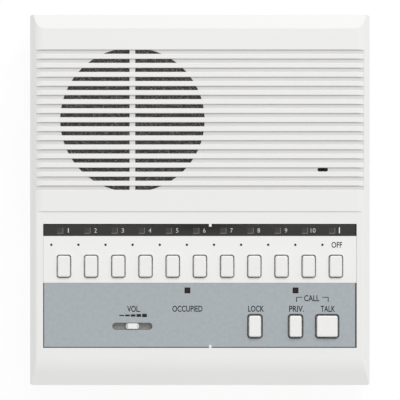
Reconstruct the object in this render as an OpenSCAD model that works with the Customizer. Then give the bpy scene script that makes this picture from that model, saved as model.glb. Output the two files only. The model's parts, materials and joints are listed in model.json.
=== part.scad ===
// Intercom master station: a desk and wall unit with a loudspeaker, a microphone, a row of
// station keys, three function keys and a sliding volume control. Sizes are in millimetres.
// +X runs to the right of the front face, +Y to its loudspeaker end and +Z out of the face.
// The unit lies on its feet, with the origin below the middle of its back.

/* [Front case] */
// Depth of the closed case without its feet
case_d = 54; // [48:1:70]
// Face to the left and right of the plates
case_margin = 8.7; // [6:0.1:14]
// Thickness of the side walls
wall = 2.6; // [2:0.1:3.6]
// Thickness of the face over the loudspeaker
face_t = 3; // [2.4:0.1:4.5]
// Thickness of the case under the plates
floor_t = 2; // [1.6:0.1:3]
// Radius of the case's four corners
corner_r = 1.6; // [1:0.1:4]
// Width of the gentle curve along the long sides of the face
crown_w = 8.5; // [6:0.25:10]
// Radius of that curve
crown_r = 14; // [11:0.5:24]
// Width of the bevel outside that curve
rim_bevel_w = 3.4; // [2:0.1:4]
// Slope of the bevel outside that curve
rim_bevel_angle = 35; // [25:1:45]
// Slope of the bevel at the top and of the toe at the bottom
slope_angle = 12; // [6:1:18]
// Height of the bevel along the top edge
bevel_h = 8.6; // [5:0.2:14]
// Face between the bevel and the first groove
brow_h = 13.15; // [8:0.05:24]
// Face between the last groove and the step
chin_h = 13.25; // [8:0.05:24]
// Face between the step and the indicator strip
sill_h = 8.3; // [6:0.1:14]
// How far the lower face lies behind the upper one
step_drop = 0.6; // [0.3:0.1:1.2]
// Flat face below the control plate
margin_h = 6.7; // [3:0.1:12]
// Rounded part of the toe
toe_curve_h = 9; // [5:0.5:14]
// Straight slope of the toe
toe_slope_h = 8; // [4:0.5:14]

/* [Loudspeaker grille] */
// Number of grooves across the face
groove_n = 16; // [10:1:20]
// Distance from groove to groove
groove_pitch = 5.6; // [5:0.1:7]
// Width of a groove
groove_w = 2.5; // [1.8:0.1:3]
// Depth of a groove
groove_depth = 1; // [0.5:0.1:1.4]
// Chamfer along the edges of a groove
groove_lip = 0.25; // [0.1:0.05:0.4]
// Radius of the field where the grooves are cut through
grille_r = 44.6; // [34:0.2:50]
// Loudspeaker axis from the left side of the case
speaker_in = 63.3; // [60:0.1:75]
// Width of the upright bar across the slots
spine_w = 3.5; // [2:0.1:6]

/* [Microphone] */
// Microphone axis from the right side of the case
mic_in = 29.1; // [20:0.1:40]
// Groove that holds the microphone's slot, counted from the top
mic_groove = 14; // [10:1:15]
// Length of the microphone's slot
mic_slot_w = 6.5; // [4:0.1:8]
// Height of the microphone's slot
mic_slot_h = 2.2; // [1.4:0.1:2.4]
// Diameter of the microphone capsule
mic_d = 9.7; // [6:0.1:12]
// Length of the microphone capsule
mic_l = 6; // [4:0.1:9]
// Wall of the rubber boot around the capsule
boot_t = 2; // [1:0.1:3]
// Wall of the ring that holds the boot
mic_ring_t = 1.5; // [1:0.1:3]

/* [Plates] */
// Height of the indicator strip
strip_h = 7; // [6:0.1:10]
// Height of the name plate
name_h = 29; // [27:0.1:36]
// Height of the control plate
control_h = 39.5; // [38:0.1:50]
// Plate left and right of the station keys
plate_margin = 3.9; // [3:0.1:9]
// Thickness of the plates
plate_t = 1.2; // [0.8:0.1:2]
// How far the plates lie below the face around them
plate_set = 0.4; // [0.2:0.1:0.8]
// Gap around the indicator strip and the control plate
plate_gap = 0.55; // [0.2:0.05:0.7]
// Gap between two plates
seam_gap = 0.1; // [0.05:0.05:0.3]
// Width of the tabs that hold the plates
tab_w = 1.6; // [1.2:0.1:4]
// How far a tab reaches over its plate
tab_reach = 1.2; // [0.8:0.1:2.4]
// Tabs from the middle of the case
tab_x = 6.4; // [2:0.1:12]

/* [Station keys] */
// Number of station keys, the last one being OFF
key_n = 11; // [9:1:12]
// Distance from key to key
key_pitch = 16.8; // [15:0.1:20]
// Width of a key
key_w = 7.6; // [6:0.1:9]
// Height of a key
key_h = 13; // [10:0.1:14]
// Gap between a key and its hole
key_gap = 0.75; // [0.4:0.05:1]
// Radius of a key's corners
key_r = 1.4; // [0.8:0.1:2]
// Radius of a key's front edges
key_edge_r = 0.9; // [0.5:0.1:1.3]
// How far a key stands out of the plate
key_proud = 2.2; // [1.2:0.1:4]
// Travel of a key
key_travel = 3.5; // [2:0.1:4.5]
// Middle of the keys below the top of the name plate
key_drop = 18.7; // [16:0.1:19.4]
// How far a key's flange reaches under the case
flange_lip = 0.8; // [0.5:0.1:1.2]
// Thickness of a key's flange
flange_t = 1.2; // [0.8:0.1:2]
// Play between the flange and the case
key_play = 0.3; // [0.2:0.05:0.5]
// Width of a key's stem
stem_w = 4; // [3:0.1:5]
// Height of a key's stem
stem_h = 3; // [2:0.1:4]

/* [Function keys] */
// Middle of the function keys below the top of the control plate
function_drop = 26.7; // [20:0.1:28]
// Width of the lock and privacy keys
function_w = 7.4; // [6:0.1:9]
// Width of the talk key
talk_w = 12.8; // [8:0.1:14]
// How far the function keys stand out of the plate
function_proud = 3; // [1.5:0.1:4.5]
// Talk key from the right end of the plate
talk_in = 17.7; // [15:0.1:24]
// Privacy key to talk key
privacy_step = 19.5; // [17:0.1:24]
// Lock key to privacy key
lock_step = 25.1; // [17:0.1:30]

/* [Volume control] */
// Travel of the volume knob
volume_travel = 15; // [10:1:20]
// Width of the volume knob
knob_w = 8.4; // [6:0.1:10]
// Height of the volume slot
slot_h = 4.2; // [4:0.1:6]
// Gap between the knob and the slot's long sides
knob_gap = 0.3; // [0.2:0.05:0.5]
// Gap between the knob and the slot's ends at full travel
slot_end = 0.65; // [0.3:0.05:1.5]
// How far the knob stands out of the plate
knob_proud = 1; // [0.8:0.1:3]
// Flat middle of the knob
knob_flat = 5.2; // [3:0.1:6]
// How far the knob slopes down to its ends
knob_slope = 0.9; // [0.4:0.1:1.2]
// Thickness of the dust shield that slides behind the slot
shield_t = 0.8; // [0.5:0.1:1.2]
// How far the shield reaches past the slot at full travel
shield_over = 1; // [0.5:0.1:2]
// Width of the lever
lever_w = 4; // [3:0.1:5]
// Thickness of the lever
lever_t = 1.2; // [0.8:0.1:1.6]
// How deep the lever sits in the knob
lever_in = 2; // [1:0.1:2.5]
// Body of the control beyond its travel at each end
pot_end = 6; // [5:0.5:9]
// Height of the control's body
pot_h = 9; // [7:0.1:11]
// Depth of the control's body
pot_d = 7; // [5:0.1:9]
// Space between the shield and the control's body
pot_drop = 3; // [2:0.1:6]

/* [Lamps] */
// Side of a square lamp window
lamp_size = 3.4; // [2.6:0.1:4]
// Station lamps to the left of their keys
lamp_dx = 2.85; // [1:0.05:4]
// Length of a station lamp
lamp_l = 7; // [5:0.5:9]
// Height of the lamp board
lamp_board_h = 10; // [8:0.5:12]
// Square lamp windows below the top of the control plate
lamp_drop = 4.6; // [3.4:0.1:6]
// Occupied lamp from the left end of the plate
busy_in = 88.6; // [84:0.1:96]
// Diameter of the round lamps behind the square windows
led_d = 3; // [2:0.1:4]
// Length of the round lamps
led_l = 8; // [6:0.5:12]

/* [Key bank] */
// Length of a key's spring at rest
spring_l = 11; // [8:0.5:14]
// Diameter of a spring
spring_d = 7; // [6.6:0.1:8]
// Thickness of the spring's wire
spring_wire = 0.7; // [0.4:0.1:0.8]
// Sheet of the steel frames
sheet_t = 1; // [0.6:0.1:1.6]
// Thickness of the latch bar
latch_t = 0.8; // [0.5:0.1:1.2]
// Gap above and below the latch bar
latch_gap = 0.25; // [0.15:0.05:0.4]
// Travel of the latch bar
latch_travel = 1.5; // [0.8:0.1:2.5]
// Height of the latch bar
latch_h = 8; // [6:0.5:10]
// Width of a switch body
switch_w = 12; // [8:0.5:13]
// Height of a switch body
switch_h = 11.6; // [9:0.1:14]
// Depth of a switch body
switch_d = 14; // [12:0.5:18]
// How deep a stem reaches into its switch at rest
stem_in = 7; // [5:0.5:8]
// Play around a stem and between the frames and the switches
bank_gap = 0.3; // [0.2:0.05:0.5]

/* [Boards and screws] */
// Thickness of the circuit boards
board_t = 1.6; // [1:0.1:2]
// Board beyond the axis of its posts
board_edge = 4.5; // [4:0.1:8]
// Diameter of the posts that carry the boards
post_d = 6; // [5:0.1:8]
// Diameter of the board screws
board_screw_d = 2.6; // [2:0.1:3]
// Length of the board screws
board_screw_l = 6; // [4:0.5:6.5]
// Diameter of the screw heads on the boards
board_head_d = 5; // [4:0.1:6]
// Height of the screw heads
head_h = 1.8; // [1.2:0.1:2.4]
// Clearance around screws and moulded fits
fit = 0.1; // [0.05:0.05:0.2]

/* [Loudspeaker] */
// Rim of the loudspeaker beyond the slots
rim_out = 1.6; // [1:0.1:3]
// Width of the rim
rim_w = 4; // [3:0.1:6]
// Thickness of the basket's sheet
basket_t = 0.8; // [0.6:0.1:1.2]
// Thickness of the grille cloth
cloth_t = 0.4; // [0.3:0.05:0.8]
// Thickness of the gasket
gasket_t = 1.5; // [1.3:0.1:3]
// Depth of the basket
basket_d = 17; // [14:0.5:20]
// Radius of the basket's hub
hub_r = 21; // [18:0.5:24]
// Thickness of the cone
cone_t = 0.4; // [0.3:0.05:0.8]
// Radius of the voice coil
coil_r = 9.5; // [8:0.1:11]
// Clearance around the voice coil
coil_gap = 0.5; // [0.3:0.05:0.8]
// Radius of the magnet
magnet_r = 22.5; // [20:0.5:26]
// Thickness of the magnet
magnet_t = 8; // [6:0.5:10]
// Thickness of the steel plates around the magnet
pole_t = 3; // [2:0.5:4]
// Radius of the washer heads that clamp the rim
clamp_r = 4; // [3.5:0.1:5]

/* [Rear cover] */
// Depth of the rear cover
rear_d = 14; // [13:0.5:18]
// Thickness of the rear cover's back
rear_t = 2.2; // [1.8:0.1:3]
// Thickness of the rear cover's walls
rear_wall = 3.4; // [3:0.1:4.5]
// How far the rear cover lies inside the front case's outline
rear_inset = 0.5; // [0.2:0.1:1]
// Radius of the rear edges
rear_edge_r = 2; // [1:0.25:3]
// Height of the lip inside the front case
lip_h = 4; // [2:0.5:6]
// Thickness of the lip
lip_t = 1.6; // [1.2:0.1:2]
// Gap between the lip and the front case
lip_gap = 0.2; // [0.1:0.05:0.4]
// Corner screws from the case's sides
corner_in = 10.5; // [10:0.5:14]
// Diameter of the front case's corner posts
corner_post_d = 8; // [7:0.1:10]
// Diameter of the rear cover's corner posts
rear_post_d = 10; // [9:0.1:11]
// Diameter of the case screws
case_screw_d = 3; // [2.5:0.1:3.5]
// Length of the case screws
case_screw_l = 16; // [14:0.5:18]
// Diameter of the case screws' heads
case_head_d = 6.2; // [5:0.1:6.6]
// Depth of the hole around a case screw's head
case_head_in = 6; // [5:0.5:8]
// Diameter of the feet
foot_d = 14; // [10:0.5:16]
// Height of the feet below the rear cover
foot_h = 2; // [1.5:0.1:4]
// Depth of the feet's seats
foot_in = 0.8; // [0.5:0.1:1.2]
// Feet from the case's sides
foot_side = 24; // [22:0.5:30]
// Distance between the wall keyholes
keyhole_spacing = 120; // [100:1:140]
// Keyholes below the top edge
keyhole_drop = 27; // [22:0.5:34]
// Diameter of a keyhole
keyhole_d = 9; // [7:0.5:10]
// Width of a keyhole's slot
keyhole_slot_w = 4.6; // [3.5:0.1:5]
// Length of a keyhole's slot
keyhole_slot_l = 7; // [5:0.5:9]
// Number of vents
vent_n = 7; // [3:1:9]
// Width of a vent
vent_w = 2.4; // [1.5:0.1:3]
// Distance from vent to vent
vent_pitch = 6.4; // [5:0.1:7]
// Length of a vent
vent_l = 40; // [20:1:50]

/* [Terminals] */
// Width of the terminal bay
bay_w = 156; // [152:1:164]
// Height of the terminal bay
bay_h = 33; // [31:0.5:38]
// Depth of the terminal bay
bay_d = 10; // [9:0.5:10.5]
// Walls of the bay and of the channel
bay_t = 2; // [1.5:0.1:2.5]
// Lower side of the bay above the bottom edge
bay_up = 54; // [46:0.5:56]
// Width of the cable channel
channel_w = 14; // [10:0.5:18]
// Depth of the cable channel
channel_d = 8; // [6:0.5:9]
// Number of terminals
terminal_n = 16; // [10:1:16]
// Distance from terminal to terminal
terminal_pitch = 8; // [7:0.1:8.2]
// Height of the terminal block
terminal_h = 12; // [10:0.5:13]
// Depth of the terminal block
terminal_d = 6.5; // [6:0.1:7]
// Diameter of a terminal screw's head
terminal_head_d = 4.4; // [3.5:0.1:5]
// Length of the ears at the terminal block's ends
ear_l = 7; // [6.5:0.1:9]

/* [Amplifier] */
// Width of the amplifier board
amp_w = 76; // [74:0.5:78]
// Height of the amplifier board
amp_h = 74; // [72:0.5:78]
// Height of the standoffs under the amplifier board
amp_up = 5.8; // [5:0.1:8]
// Amplifier board from the right wall
amp_side = 7; // [6:0.5:9]
// Amplifier board above the step
amp_rise = 5; // [3:0.5:8]
// Height of the board connectors
connector_d = 7; // [5:0.5:7]
// Width of the ribbon cables
ribbon_w = 18; // [12:1:22]
// Thickness of the ribbon cables
ribbon_t = 1; // [0.8:0.1:1.4]
// Width of the two-core leads
lead_w = 3.2; // [2.4:0.1:4]
// Thickness of the two-core leads
lead_t = 1.6; // [1.2:0.1:2]

/* [Hidden] */
$fn = 48;
STATIONS = [for (i = [1:key_n - 1]) str("key_", i)];

// Colours
white_plastic = [0.93, 0.93, 0.92];
grey_plate = [0.66, 0.69, 0.71];
black_strip = [0.17, 0.16, 0.15];
slot_grey = [0.47, 0.46, 0.46];
steel = [0.72, 0.73, 0.74];
board_tan = [0.74, 0.6, 0.36];
black = [0.1, 0.1, 0.1];

// Overlap that lets one solid run into the next, or a cut run out of a face
eps = 1;

// Outline seen from the front
plate_w = key_n * key_pitch + 2 * plate_margin;
case_w = plate_w + 2 * case_margin;
grooves_h = (groove_n - 1) * groove_pitch + groove_w;
plates_h = strip_h + name_h + control_h;
toe_h = toe_curve_h + toe_slope_h;
case_h = bevel_h + brow_h + grooves_h + chin_h + sill_h + plates_h + margin_h + toe_h;
side_x = case_w / 2;
top_y = case_h / 2;
brow_y = top_y - bevel_h;
speaker_y = brow_y - brow_h - grooves_h / 2;
step_y = speaker_y - grooves_h / 2 - chin_h;
strip_y = step_y - sill_h;
name_y = strip_y - strip_h;
control_y = name_y - name_h;
plate_end_y = control_y - control_h;
toe_y = plate_end_y - margin_h;
speaker_x = speaker_in - side_x;
mic_x = side_x - mic_in;
mic_y = groove_y(mic_groove);
key_y = name_y - key_drop;
function_y = control_y - function_drop;
lamp_y = control_y - lamp_drop;
strip_mid_y = strip_y - strip_h / 2;
talk_x = plate_w / 2 - talk_in;
privacy_x = talk_x - privacy_step;
lock_x = privacy_x - lock_step;
busy_x = busy_in - plate_w / 2;
volume_x = speaker_x;

// Levels from the face to the back
face_z = foot_h + case_d;
part_z = foot_h + rear_d;
lower_z = face_z - step_drop;
plate_z = lower_z - plate_set;
recess_z = plate_z - plate_t;
under_z = recess_z - floor_t;
inner_z = face_z - face_t;
flange_z = under_z - key_play - flange_t;
frame_z = flange_z - spring_l - sheet_t;
switch_z = frame_z - latch_t - 2 * latch_gap;
board_z = switch_z - switch_d;
lamp_board_z = recess_z - fit - lamp_l - board_t;
pot_z = under_z - shield_t - pot_drop - pot_d;
volume_board_z = pot_z - board_t;
gasket_z = inner_z - cloth_t - gasket_t;
rim_z = gasket_z - cone_t - basket_t;
hub_z = rim_z - basket_d;
back_z = foot_h + rear_t;
amp_z = back_z + amp_up;
bay_z = foot_h + bay_d;
bay_top_z = bay_z + bay_t;

// Slopes of the face
bevel_drop = bevel_h * tan(slope_angle);
toe_r = toe_curve_h / sin(slope_angle);
toe_curve_drop = toe_r * (1 - cos(slope_angle));
toe_drop = toe_curve_drop + toe_slope_h * tan(slope_angle);

// Key bank
hole_h = key_h + 2 * key_gap;
flange_h = hole_h + 2 * flange_lip;
frame_inner_h = switch_h + 2 * bank_gap;
frame_h = frame_inner_h + 2 * sheet_t;
frame_end = switch_w / 2 + bank_gap;
function_xs = [lock_x, privacy_x, talk_x];
station_xs = [for (i = [1:key_n]) key_x(i)];
latch_z = switch_z + latch_gap;
latch_end = station_xs[0] - frame_end - sheet_t;
latch_tab_l = 8;
latch_spring_d = 3.6;
latch_spring_solid_l = 2.5;
latch_spring_l = latch_travel + latch_spring_solid_l;
stop_x = latch_end - latch_spring_l;
pocket_end = 1.5;
pocket_l = stem_in + key_travel + pocket_end;

// Boards and their posts
post_clear = 0.8;
bank_post_y = key_y + flange_h / 2 + post_clear + post_d / 2;
function_post_y = function_y - flange_h / 2 - post_clear - post_d / 2;
board_over = 1;
board_post_x = plate_w / 2 + board_over - board_edge;
board_posts = [for (x = [-board_post_x, 0, board_post_x], y = [function_post_y, bank_post_y]) [x, y]];
board_w = 2 * (board_post_x + board_edge);
board_y0 = function_post_y - board_edge;
lamp_posts = [for (x = [-board_post_x, board_post_x]) [x, strip_mid_y]];
pot_l = volume_travel + lever_w + 2 * pot_end;
slot_l = volume_travel + knob_w + 2 * slot_end;
shield_h = 2 * slot_h;
shield_l = slot_l + volume_travel + 2 * shield_over;
volume_post_x = pot_l / 2 + post_clear + post_d / 2;
volume_post_y = shield_h / 2 + post_clear + post_d / 2;
volume_posts = [for (s = [-1, 1]) [volume_x + s * volume_post_x, function_y - s * volume_post_y]];
volume_board_h = 2 * (volume_post_y + board_edge);
post_hole_d = board_screw_d + 2 * fit;
case_hole_d = case_screw_d + 2 * fit;
corners = [for (sx = [-1, 1], sy = [-1, 1]) [sx * (side_x - corner_in), sy * (top_y - corner_in)]];
foot_places = [for (sx = [-1, 1], sy = [-1, 1]) [sx * (side_x - foot_side), sy * (top_y - foot_side)]];

// Loudspeaker
speaker_r = grille_r + rim_out;
clamp_post_r = 3;
clamp_post_at = speaker_r + clamp_post_r + 3 * fit;
clamp_screw_d = 2.4;
clamp_end = 0.5;
clamp_screw_l = inner_z - rim_z - clamp_end;
roll_r = 1.2;
cone_r = speaker_r - rim_w - 2 * roll_r - cone_t;
neck_up = 3;
neck_z = hub_z + neck_up;
pole_r = coil_r - coil_gap;
pole_in = 1;
coil_t = 0.6;
coil_over = 1;
gap_r = coil_r + coil_t + coil_gap;
magnet_bore_gap = 4;
cap_lip = 1;
tag_z = hub_z + basket_d * 0.45;
tag_l = 6;

// Rear cover
lip_x = side_x - wall - lip_gap;
lip_y = top_y - wall - lip_gap;
head_z = foot_h + case_head_in;
keyhole_y = top_y - keyhole_drop;
bay_y0 = bay_up - top_y;
bay_y1 = bay_y0 + bay_h;
bay_y = bay_y0 + bay_h / 2;
amp_x1 = side_x - wall - amp_side;
amp_x0 = amp_x1 - amp_w;
amp_y0 = step_y + amp_rise;
amp_y1 = amp_y0 + amp_h;
amp_in = 5;
amp_posts = [for (x = [amp_x0 + amp_in, amp_x1 - amp_in], y = [amp_y0 + amp_in, amp_y1 - amp_in]) [x, y]];
amp_top_z = amp_z + board_t;
terminal_l = terminal_n * terminal_pitch;
terminal_z = bay_z - terminal_d;
terminal_well = 3.2;
terminal_shank_d = 2.2;
terminal_end = 1.2;
ear_t = 3;
ear_x = terminal_l / 2 + ear_l / 2;
ear_boss_h = 3;

// Amplifier parts, from the lower left corner of the board: place, radius and height
cans = [[13, 60, 7, 24], [30, 62, 6, 20], [12, 42, 5, 14], [26, 44, 4, 12], [38, 46, 4, 12]];
sink_at = [26, 22];
sink_l = 36;
sink_h = 24;
sink_base = 2.5;
fin_n = 6;
fin_l = 9;
fin_t = 1.4;
chip_l = 20;
chip_t = 4;
chip_h = 12;
chip_up = 3;
pin_n = 7;
pin_pitch = 2.5;
pin_t = 0.8;
core_at = [56, 56];
core_l = 30;
core_t = 14;
core_h = 25;
leg_w = 8;
yoke_w = 5;
coil_out = 4.5;

// Wiring; the key board reaches past the terminal bay to its connector
connector_h = 6;
connector_end = 3;
connector_in = 2;
connector_x = amp_x0 + amp_w / 2;
amp_connector_y = amp_y0 + connector_in;
key_connector_y = bay_y1 + bay_t + post_clear;
board_y1 = key_connector_y + connector_h + connector_in;
ribbon_mid = connector_d / 2;
ribbon_in = 2;
lamp_ribbon_x = station_xs[2];
lead_bend = 5;
lead_in = 2;
led_rim = 0.4;
led_rim_h = 1;
pipe_lip = 1;

function groove_y(i) = brow_y - brow_h - groove_w / 2 - (i - 1) * groove_pitch;
function key_x(i) = (i - (key_n + 1) / 2) * key_pitch;
function basket_r(z) = hub_r + (speaker_r - rim_w - hub_r) * (z - hub_z) / basket_d;

// Shared shapes

// Rectangle with round corners, centred
module rounded_rect(w, h, r) {
    square([w - 2 * r, h], center = true);
    square([w, h - 2 * r], center = true);
    for (sx = [-1, 1], sy = [-1, 1]) {
        translate([sx * (w / 2 - r), sy * (h / 2 - r)]) circle(r);
    }
}

// Slot with round ends, centred
module pill(w, h) {
    square([w - h, h], center = true);
    for (s = [-1, 1]) {
        translate([s * (w - h) / 2, 0]) circle(h / 2);
    }
}

// Block with round corners and round front edges, its front face at z = 0
module rounded_block(w, h, d, r, edge) {
    intersection() {
        translate([0, 0, -d]) linear_extrude(d) rounded_rect(w, h, r);
        translate([0, 0, -d]) rotate([90, 0, 0]) linear_extrude(h + eps, center = true)
            rounded_rect(w, 2 * d, edge);
        translate([0, 0, -d]) rotate([90, 0, 90]) linear_extrude(w + eps, center = true)
            rounded_rect(h, 2 * d, edge);
    }
}

// Box given by its two corners
module box(low, high) {
    translate(low) cube(high - low);
}

// Ring standing on z = 0
module ring(outer, inner, h) {
    difference() {
        cylinder(r = outer, h = h);
        translate([0, 0, -eps]) cylinder(r = inner, h = h + 2 * eps);
    }
}

// Cross-head screw whose head lies below z = 0 and whose shank points to +Z
module screw(d, l, head_d, head) {
    cross_w = head_d / 6;
    difference() {
        union() {
            translate([0, 0, -head / 2]) cylinder(d = d, h = l + head / 2);
            translate([0, 0, -head]) cylinder(d = head_d, h = head);
        }
        for (a = [0, 90]) {
            rotate(a) translate([0, 0, -head]) cube([head_d * 0.6, cross_w, head], center = true);
        }
    }
}

// Post with a screw hole in its lower end
module post(d, hole_d, depth, low, high) {
    translate([0, 0, low]) difference() {
        cylinder(d = d, h = high - low);
        translate([0, 0, -eps]) cylinder(d = hole_d, h = depth + eps);
    }
}

// Front case

// Side view of the front case from the toe on the left to the bevel on the right
module face_profile() {
    slope_y = toe_y - toe_curve_h;
    slope_z = lower_z - toe_curve_drop;
    centre = [toe_y, lower_z - toe_r];
    reach = (toe_r + 2 * eps) / cos(slope_angle);
    polygon([
        [toe_y, 0], [top_y, 0], [top_y, face_z - bevel_drop], [brow_y, face_z],
        [step_y, face_z], [step_y, lower_z], [toe_y, lower_z]
    ]);
    polygon([[-top_y, 0], [toe_y, 0], [toe_y, lower_z], [slope_y, slope_z], [-top_y, lower_z - toe_drop]]);
    intersection() {
        translate(centre) circle(toe_r, $fn = 180);
        polygon([centre, centre + reach * [-sin(slope_angle), cos(slope_angle)], centre + [0, reach]]);
    }
}

// Case seen from its lower end, with a curve and a bevel along its long sides
module crown_profile() {
    curve_drop = crown_r - sqrt(pow(crown_r, 2) - pow(crown_w - rim_bevel_w, 2));
    bevel_z = face_z - curve_drop - rim_bevel_w * tan(rim_bevel_angle);
    ridge_z = bevel_z + side_x * tan(rim_bevel_angle);
    intersection() {
        rounded_rect(case_w + 2 * (crown_r - crown_w), 2 * face_z, crown_r);
        polygon([[-side_x, 0], [side_x, 0], [side_x, bevel_z], [0, ridge_z], [-side_x, bevel_z]]);
    }
}

module case_body() {
    intersection() {
        translate([0, 0, part_z]) linear_extrude(face_z - part_z) rounded_rect(case_w, case_h, corner_r);
        rotate([90, 0, 0]) linear_extrude(case_h + eps, center = true) crown_profile();
        rotate([90, 0, 90]) linear_extrude(case_w + eps, center = true) face_profile();
    }
}

// Cross-section of a groove with chamfered edges
module groove_profile() {
    half = groove_w / 2;
    rim = half + groove_lip + eps;
    polygon([
        [-rim, eps], [-half, -groove_lip], [-half, -groove_depth],
        [half, -groove_depth], [half, -groove_lip], [rim, eps]
    ]);
}

// Slots of the loudspeaker field, in the floors of the grooves
module grille_slots() {
    intersection() {
        translate([speaker_x, speaker_y, inner_z - eps])
            cylinder(r = grille_r, h = face_t + 2 * eps, $fn = 180);
        for (i = [1:groove_n], s = [-1, 1]) {
            translate([speaker_x + s * (grille_r + spine_w) / 2, groove_y(i), inner_z + face_t / 2])
                cube([grille_r, groove_w, face_t + 2 * eps], center = true);
        }
    }
}

// Holes for the keys, the knob and the lamps, right through the plates and the floor under them
module control_holes(clearance) {
    low = under_z - eps;
    through = plate_z - under_z + 2 * eps;
    translate([0, 0, low]) linear_extrude(through) {
        for (x = station_xs) {
            translate([x, key_y]) rounded_rect(key_w + 2 * key_gap, hole_h, key_r + key_gap / 2);
        }
        for (x = [lock_x, privacy_x]) {
            translate([x, function_y]) rounded_rect(function_w + 2 * key_gap, hole_h, key_r + key_gap / 2);
        }
        translate([talk_x, function_y]) rounded_rect(talk_w + 2 * key_gap, hole_h, key_r + key_gap / 2);
        translate([volume_x, function_y]) pill(slot_l, slot_h);
        for (x = [busy_x, privacy_x]) {
            translate([x, lamp_y]) square(lamp_size + 2 * clearance, center = true);
        }
    }
}

// Post under the plates that carries a board at the given level
module board_post(low) {
    post(post_d, post_hole_d, board_screw_l, low, under_z + eps);
}

module plate_tabs() {
    root = plate_gap + eps;
    reach = root + tab_reach;
    for (y = [strip_y + root - reach / 2, plate_end_y - root + reach / 2]) {
        translate([tab_x, y, (plate_z + lower_z) / 2]) cube([tab_w, reach, plate_set], center = true);
    }
}

module front_case() color(white_plastic) {
    recess_w = plate_w + 2 * plate_gap;
    recess_y0 = plate_end_y - plate_gap;
    recess_y1 = strip_y + plate_gap;
    inner_x = side_x - wall;
    inner_y = top_y - wall;
    difference() {
        union() {
            difference() {
                case_body();
                box([-inner_x, -inner_y, part_z - eps], [inner_x, inner_y, under_z]);
                box([-inner_x, step_y, under_z - eps], [inner_x, inner_y, inner_z]);
                box([-recess_w / 2, recess_y0, recess_z], [recess_w / 2, recess_y1, face_z + eps]);
            }
            plate_tabs();
            for (p = board_posts) {
                translate(p) board_post(board_z);
            }
            for (p = lamp_posts) {
                translate(p) board_post(lamp_board_z + board_t);
            }
            for (p = volume_posts) {
                translate(p) board_post(pot_z);
            }
            for (p = corners) {
                inside_z = p[1] > step_y ? inner_z : under_z;
                translate(p) post(corner_post_d, case_hole_d, case_screw_l, part_z, inside_z + eps);
            }
            for (a = [45:90:315]) {
                translate([speaker_x, speaker_y]) rotate(a) translate([clamp_post_at, 0])
                    post(2 * clamp_post_r, clamp_screw_d + 2 * fit, clamp_screw_l, rim_z, inner_z + eps);
            }
            translate([mic_x, mic_y, inner_z - mic_l]) ring(mic_d / 2 + boot_t + mic_ring_t + fit,
                mic_d / 2 + boot_t + fit, mic_l + eps);
        }
        for (i = [1:groove_n]) {
            translate([0, groove_y(i), face_z]) rotate([90, 0, 90])
                linear_extrude(case_w + 2 * eps, center = true) groove_profile();
        }
        grille_slots();
        translate([mic_x, mic_y, inner_z - eps]) linear_extrude(face_t + 2 * eps)
            pill(mic_slot_w, mic_slot_h);
        control_holes(fit);
        for (x = station_xs) {
            translate([x - lamp_dx, strip_mid_y, recess_z])
                cube([lamp_size + 2 * fit, lamp_size + 2 * fit, 2 * floor_t + eps], center = true);
        }
    }
}

// Plates on the lower face

module plate(w, low_y, high_y) {
    box([-w / 2, low_y, recess_z], [w / 2, high_y, plate_z]);
}

module indicator_window() color(black_strip) plate(plate_w, name_y + seam_gap, strip_y);

// The name plate fills the recess from side to side
module name_plate() color(white_plastic) difference() {
    plate(plate_w + 2 * plate_gap - 2 * fit, control_y + seam_gap, name_y);
    control_holes(fit);
}

module control_plate() color(grey_plate) difference() {
    plate(plate_w, plate_end_y, control_y);
    control_holes(fit);
}

// Keys

module key(x, y, w, proud) {
    cap_top = plate_z + proud;
    cap_l = cap_top - flange_z - flange_t / 2;
    stem_z = switch_z - stem_in;
    translate([x, y, 0]) {
        translate([0, 0, cap_top]) rounded_block(w, key_h, cap_l, key_r, key_edge_r);
        translate([0, 0, flange_z + flange_t / 2])
            cube([w + 2 * (key_gap + flange_lip), flange_h, flange_t], center = true);
        box([-stem_w / 2, -stem_h / 2, stem_z], [stem_w / 2, stem_h / 2, flange_z + flange_t / 2]);
    }
}

module station_key(i) color(white_plastic) key(key_x(i), key_y, key_w, key_proud);

module lock_key() color(white_plastic) key(lock_x, function_y, function_w, function_proud);

module privacy_key() color(white_plastic) key(privacy_x, function_y, function_w, function_proud);

module talk_key() color(white_plastic) key(talk_x, function_y, talk_w, function_proud);

// Key bank

// Openings that the stems pass through, in a sheet seen from the front
module stem_holes(xs, slide) {
    for (x = xs) {
        translate([x + slide / 2, 0])
            square([stem_w + 2 * bank_gap + slide, stem_h + 2 * bank_gap], center = true);
    }
}

// Steel channel over a row of switches, with its feet on the board
module switch_frame(xs, y) {
    x0 = min(xs) - frame_end;
    x1 = max(xs) + frame_end;
    translate([0, y, 0]) difference() {
        box([x0, -frame_h / 2, board_z], [x1, frame_h / 2, frame_z + sheet_t]);
        box([x0 - eps, -frame_inner_h / 2, board_z - eps], [x1 + eps, frame_inner_h / 2, frame_z]);
        translate([0, 0, frame_z - eps]) linear_extrude(sheet_t + 2 * eps) stem_holes(xs, 0);
    }
}

module switch_bodies(xs, y) {
    for (x = xs) {
        translate([x, y, board_z]) difference() {
            box([-switch_w / 2, -switch_h / 2, 0], [switch_w / 2, switch_h / 2, switch_d]);
            translate([0, 0, switch_d - pocket_l]) linear_extrude(pocket_l + eps) stem_holes([0], 0);
        }
    }
}

// The station frame also has a stop at its left end for the latch bar's spring
module key_bank_frame() color(steel) {
    switch_frame(station_xs, key_y);
    box([stop_x - sheet_t, key_y - frame_h / 2, board_z], [stop_x, key_y + frame_h / 2, frame_z + sheet_t]);
    for (s = [-1, 1]) {
        translate([stop_x - sheet_t, key_y + s * (frame_h - sheet_t) / 2 - sheet_t / 2, board_z])
            cube([latch_end + 2 * eps - stop_x + sheet_t, sheet_t, frame_z + sheet_t - board_z]);
    }
}

module function_frame() color(steel) switch_frame(function_xs, function_y);

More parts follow.
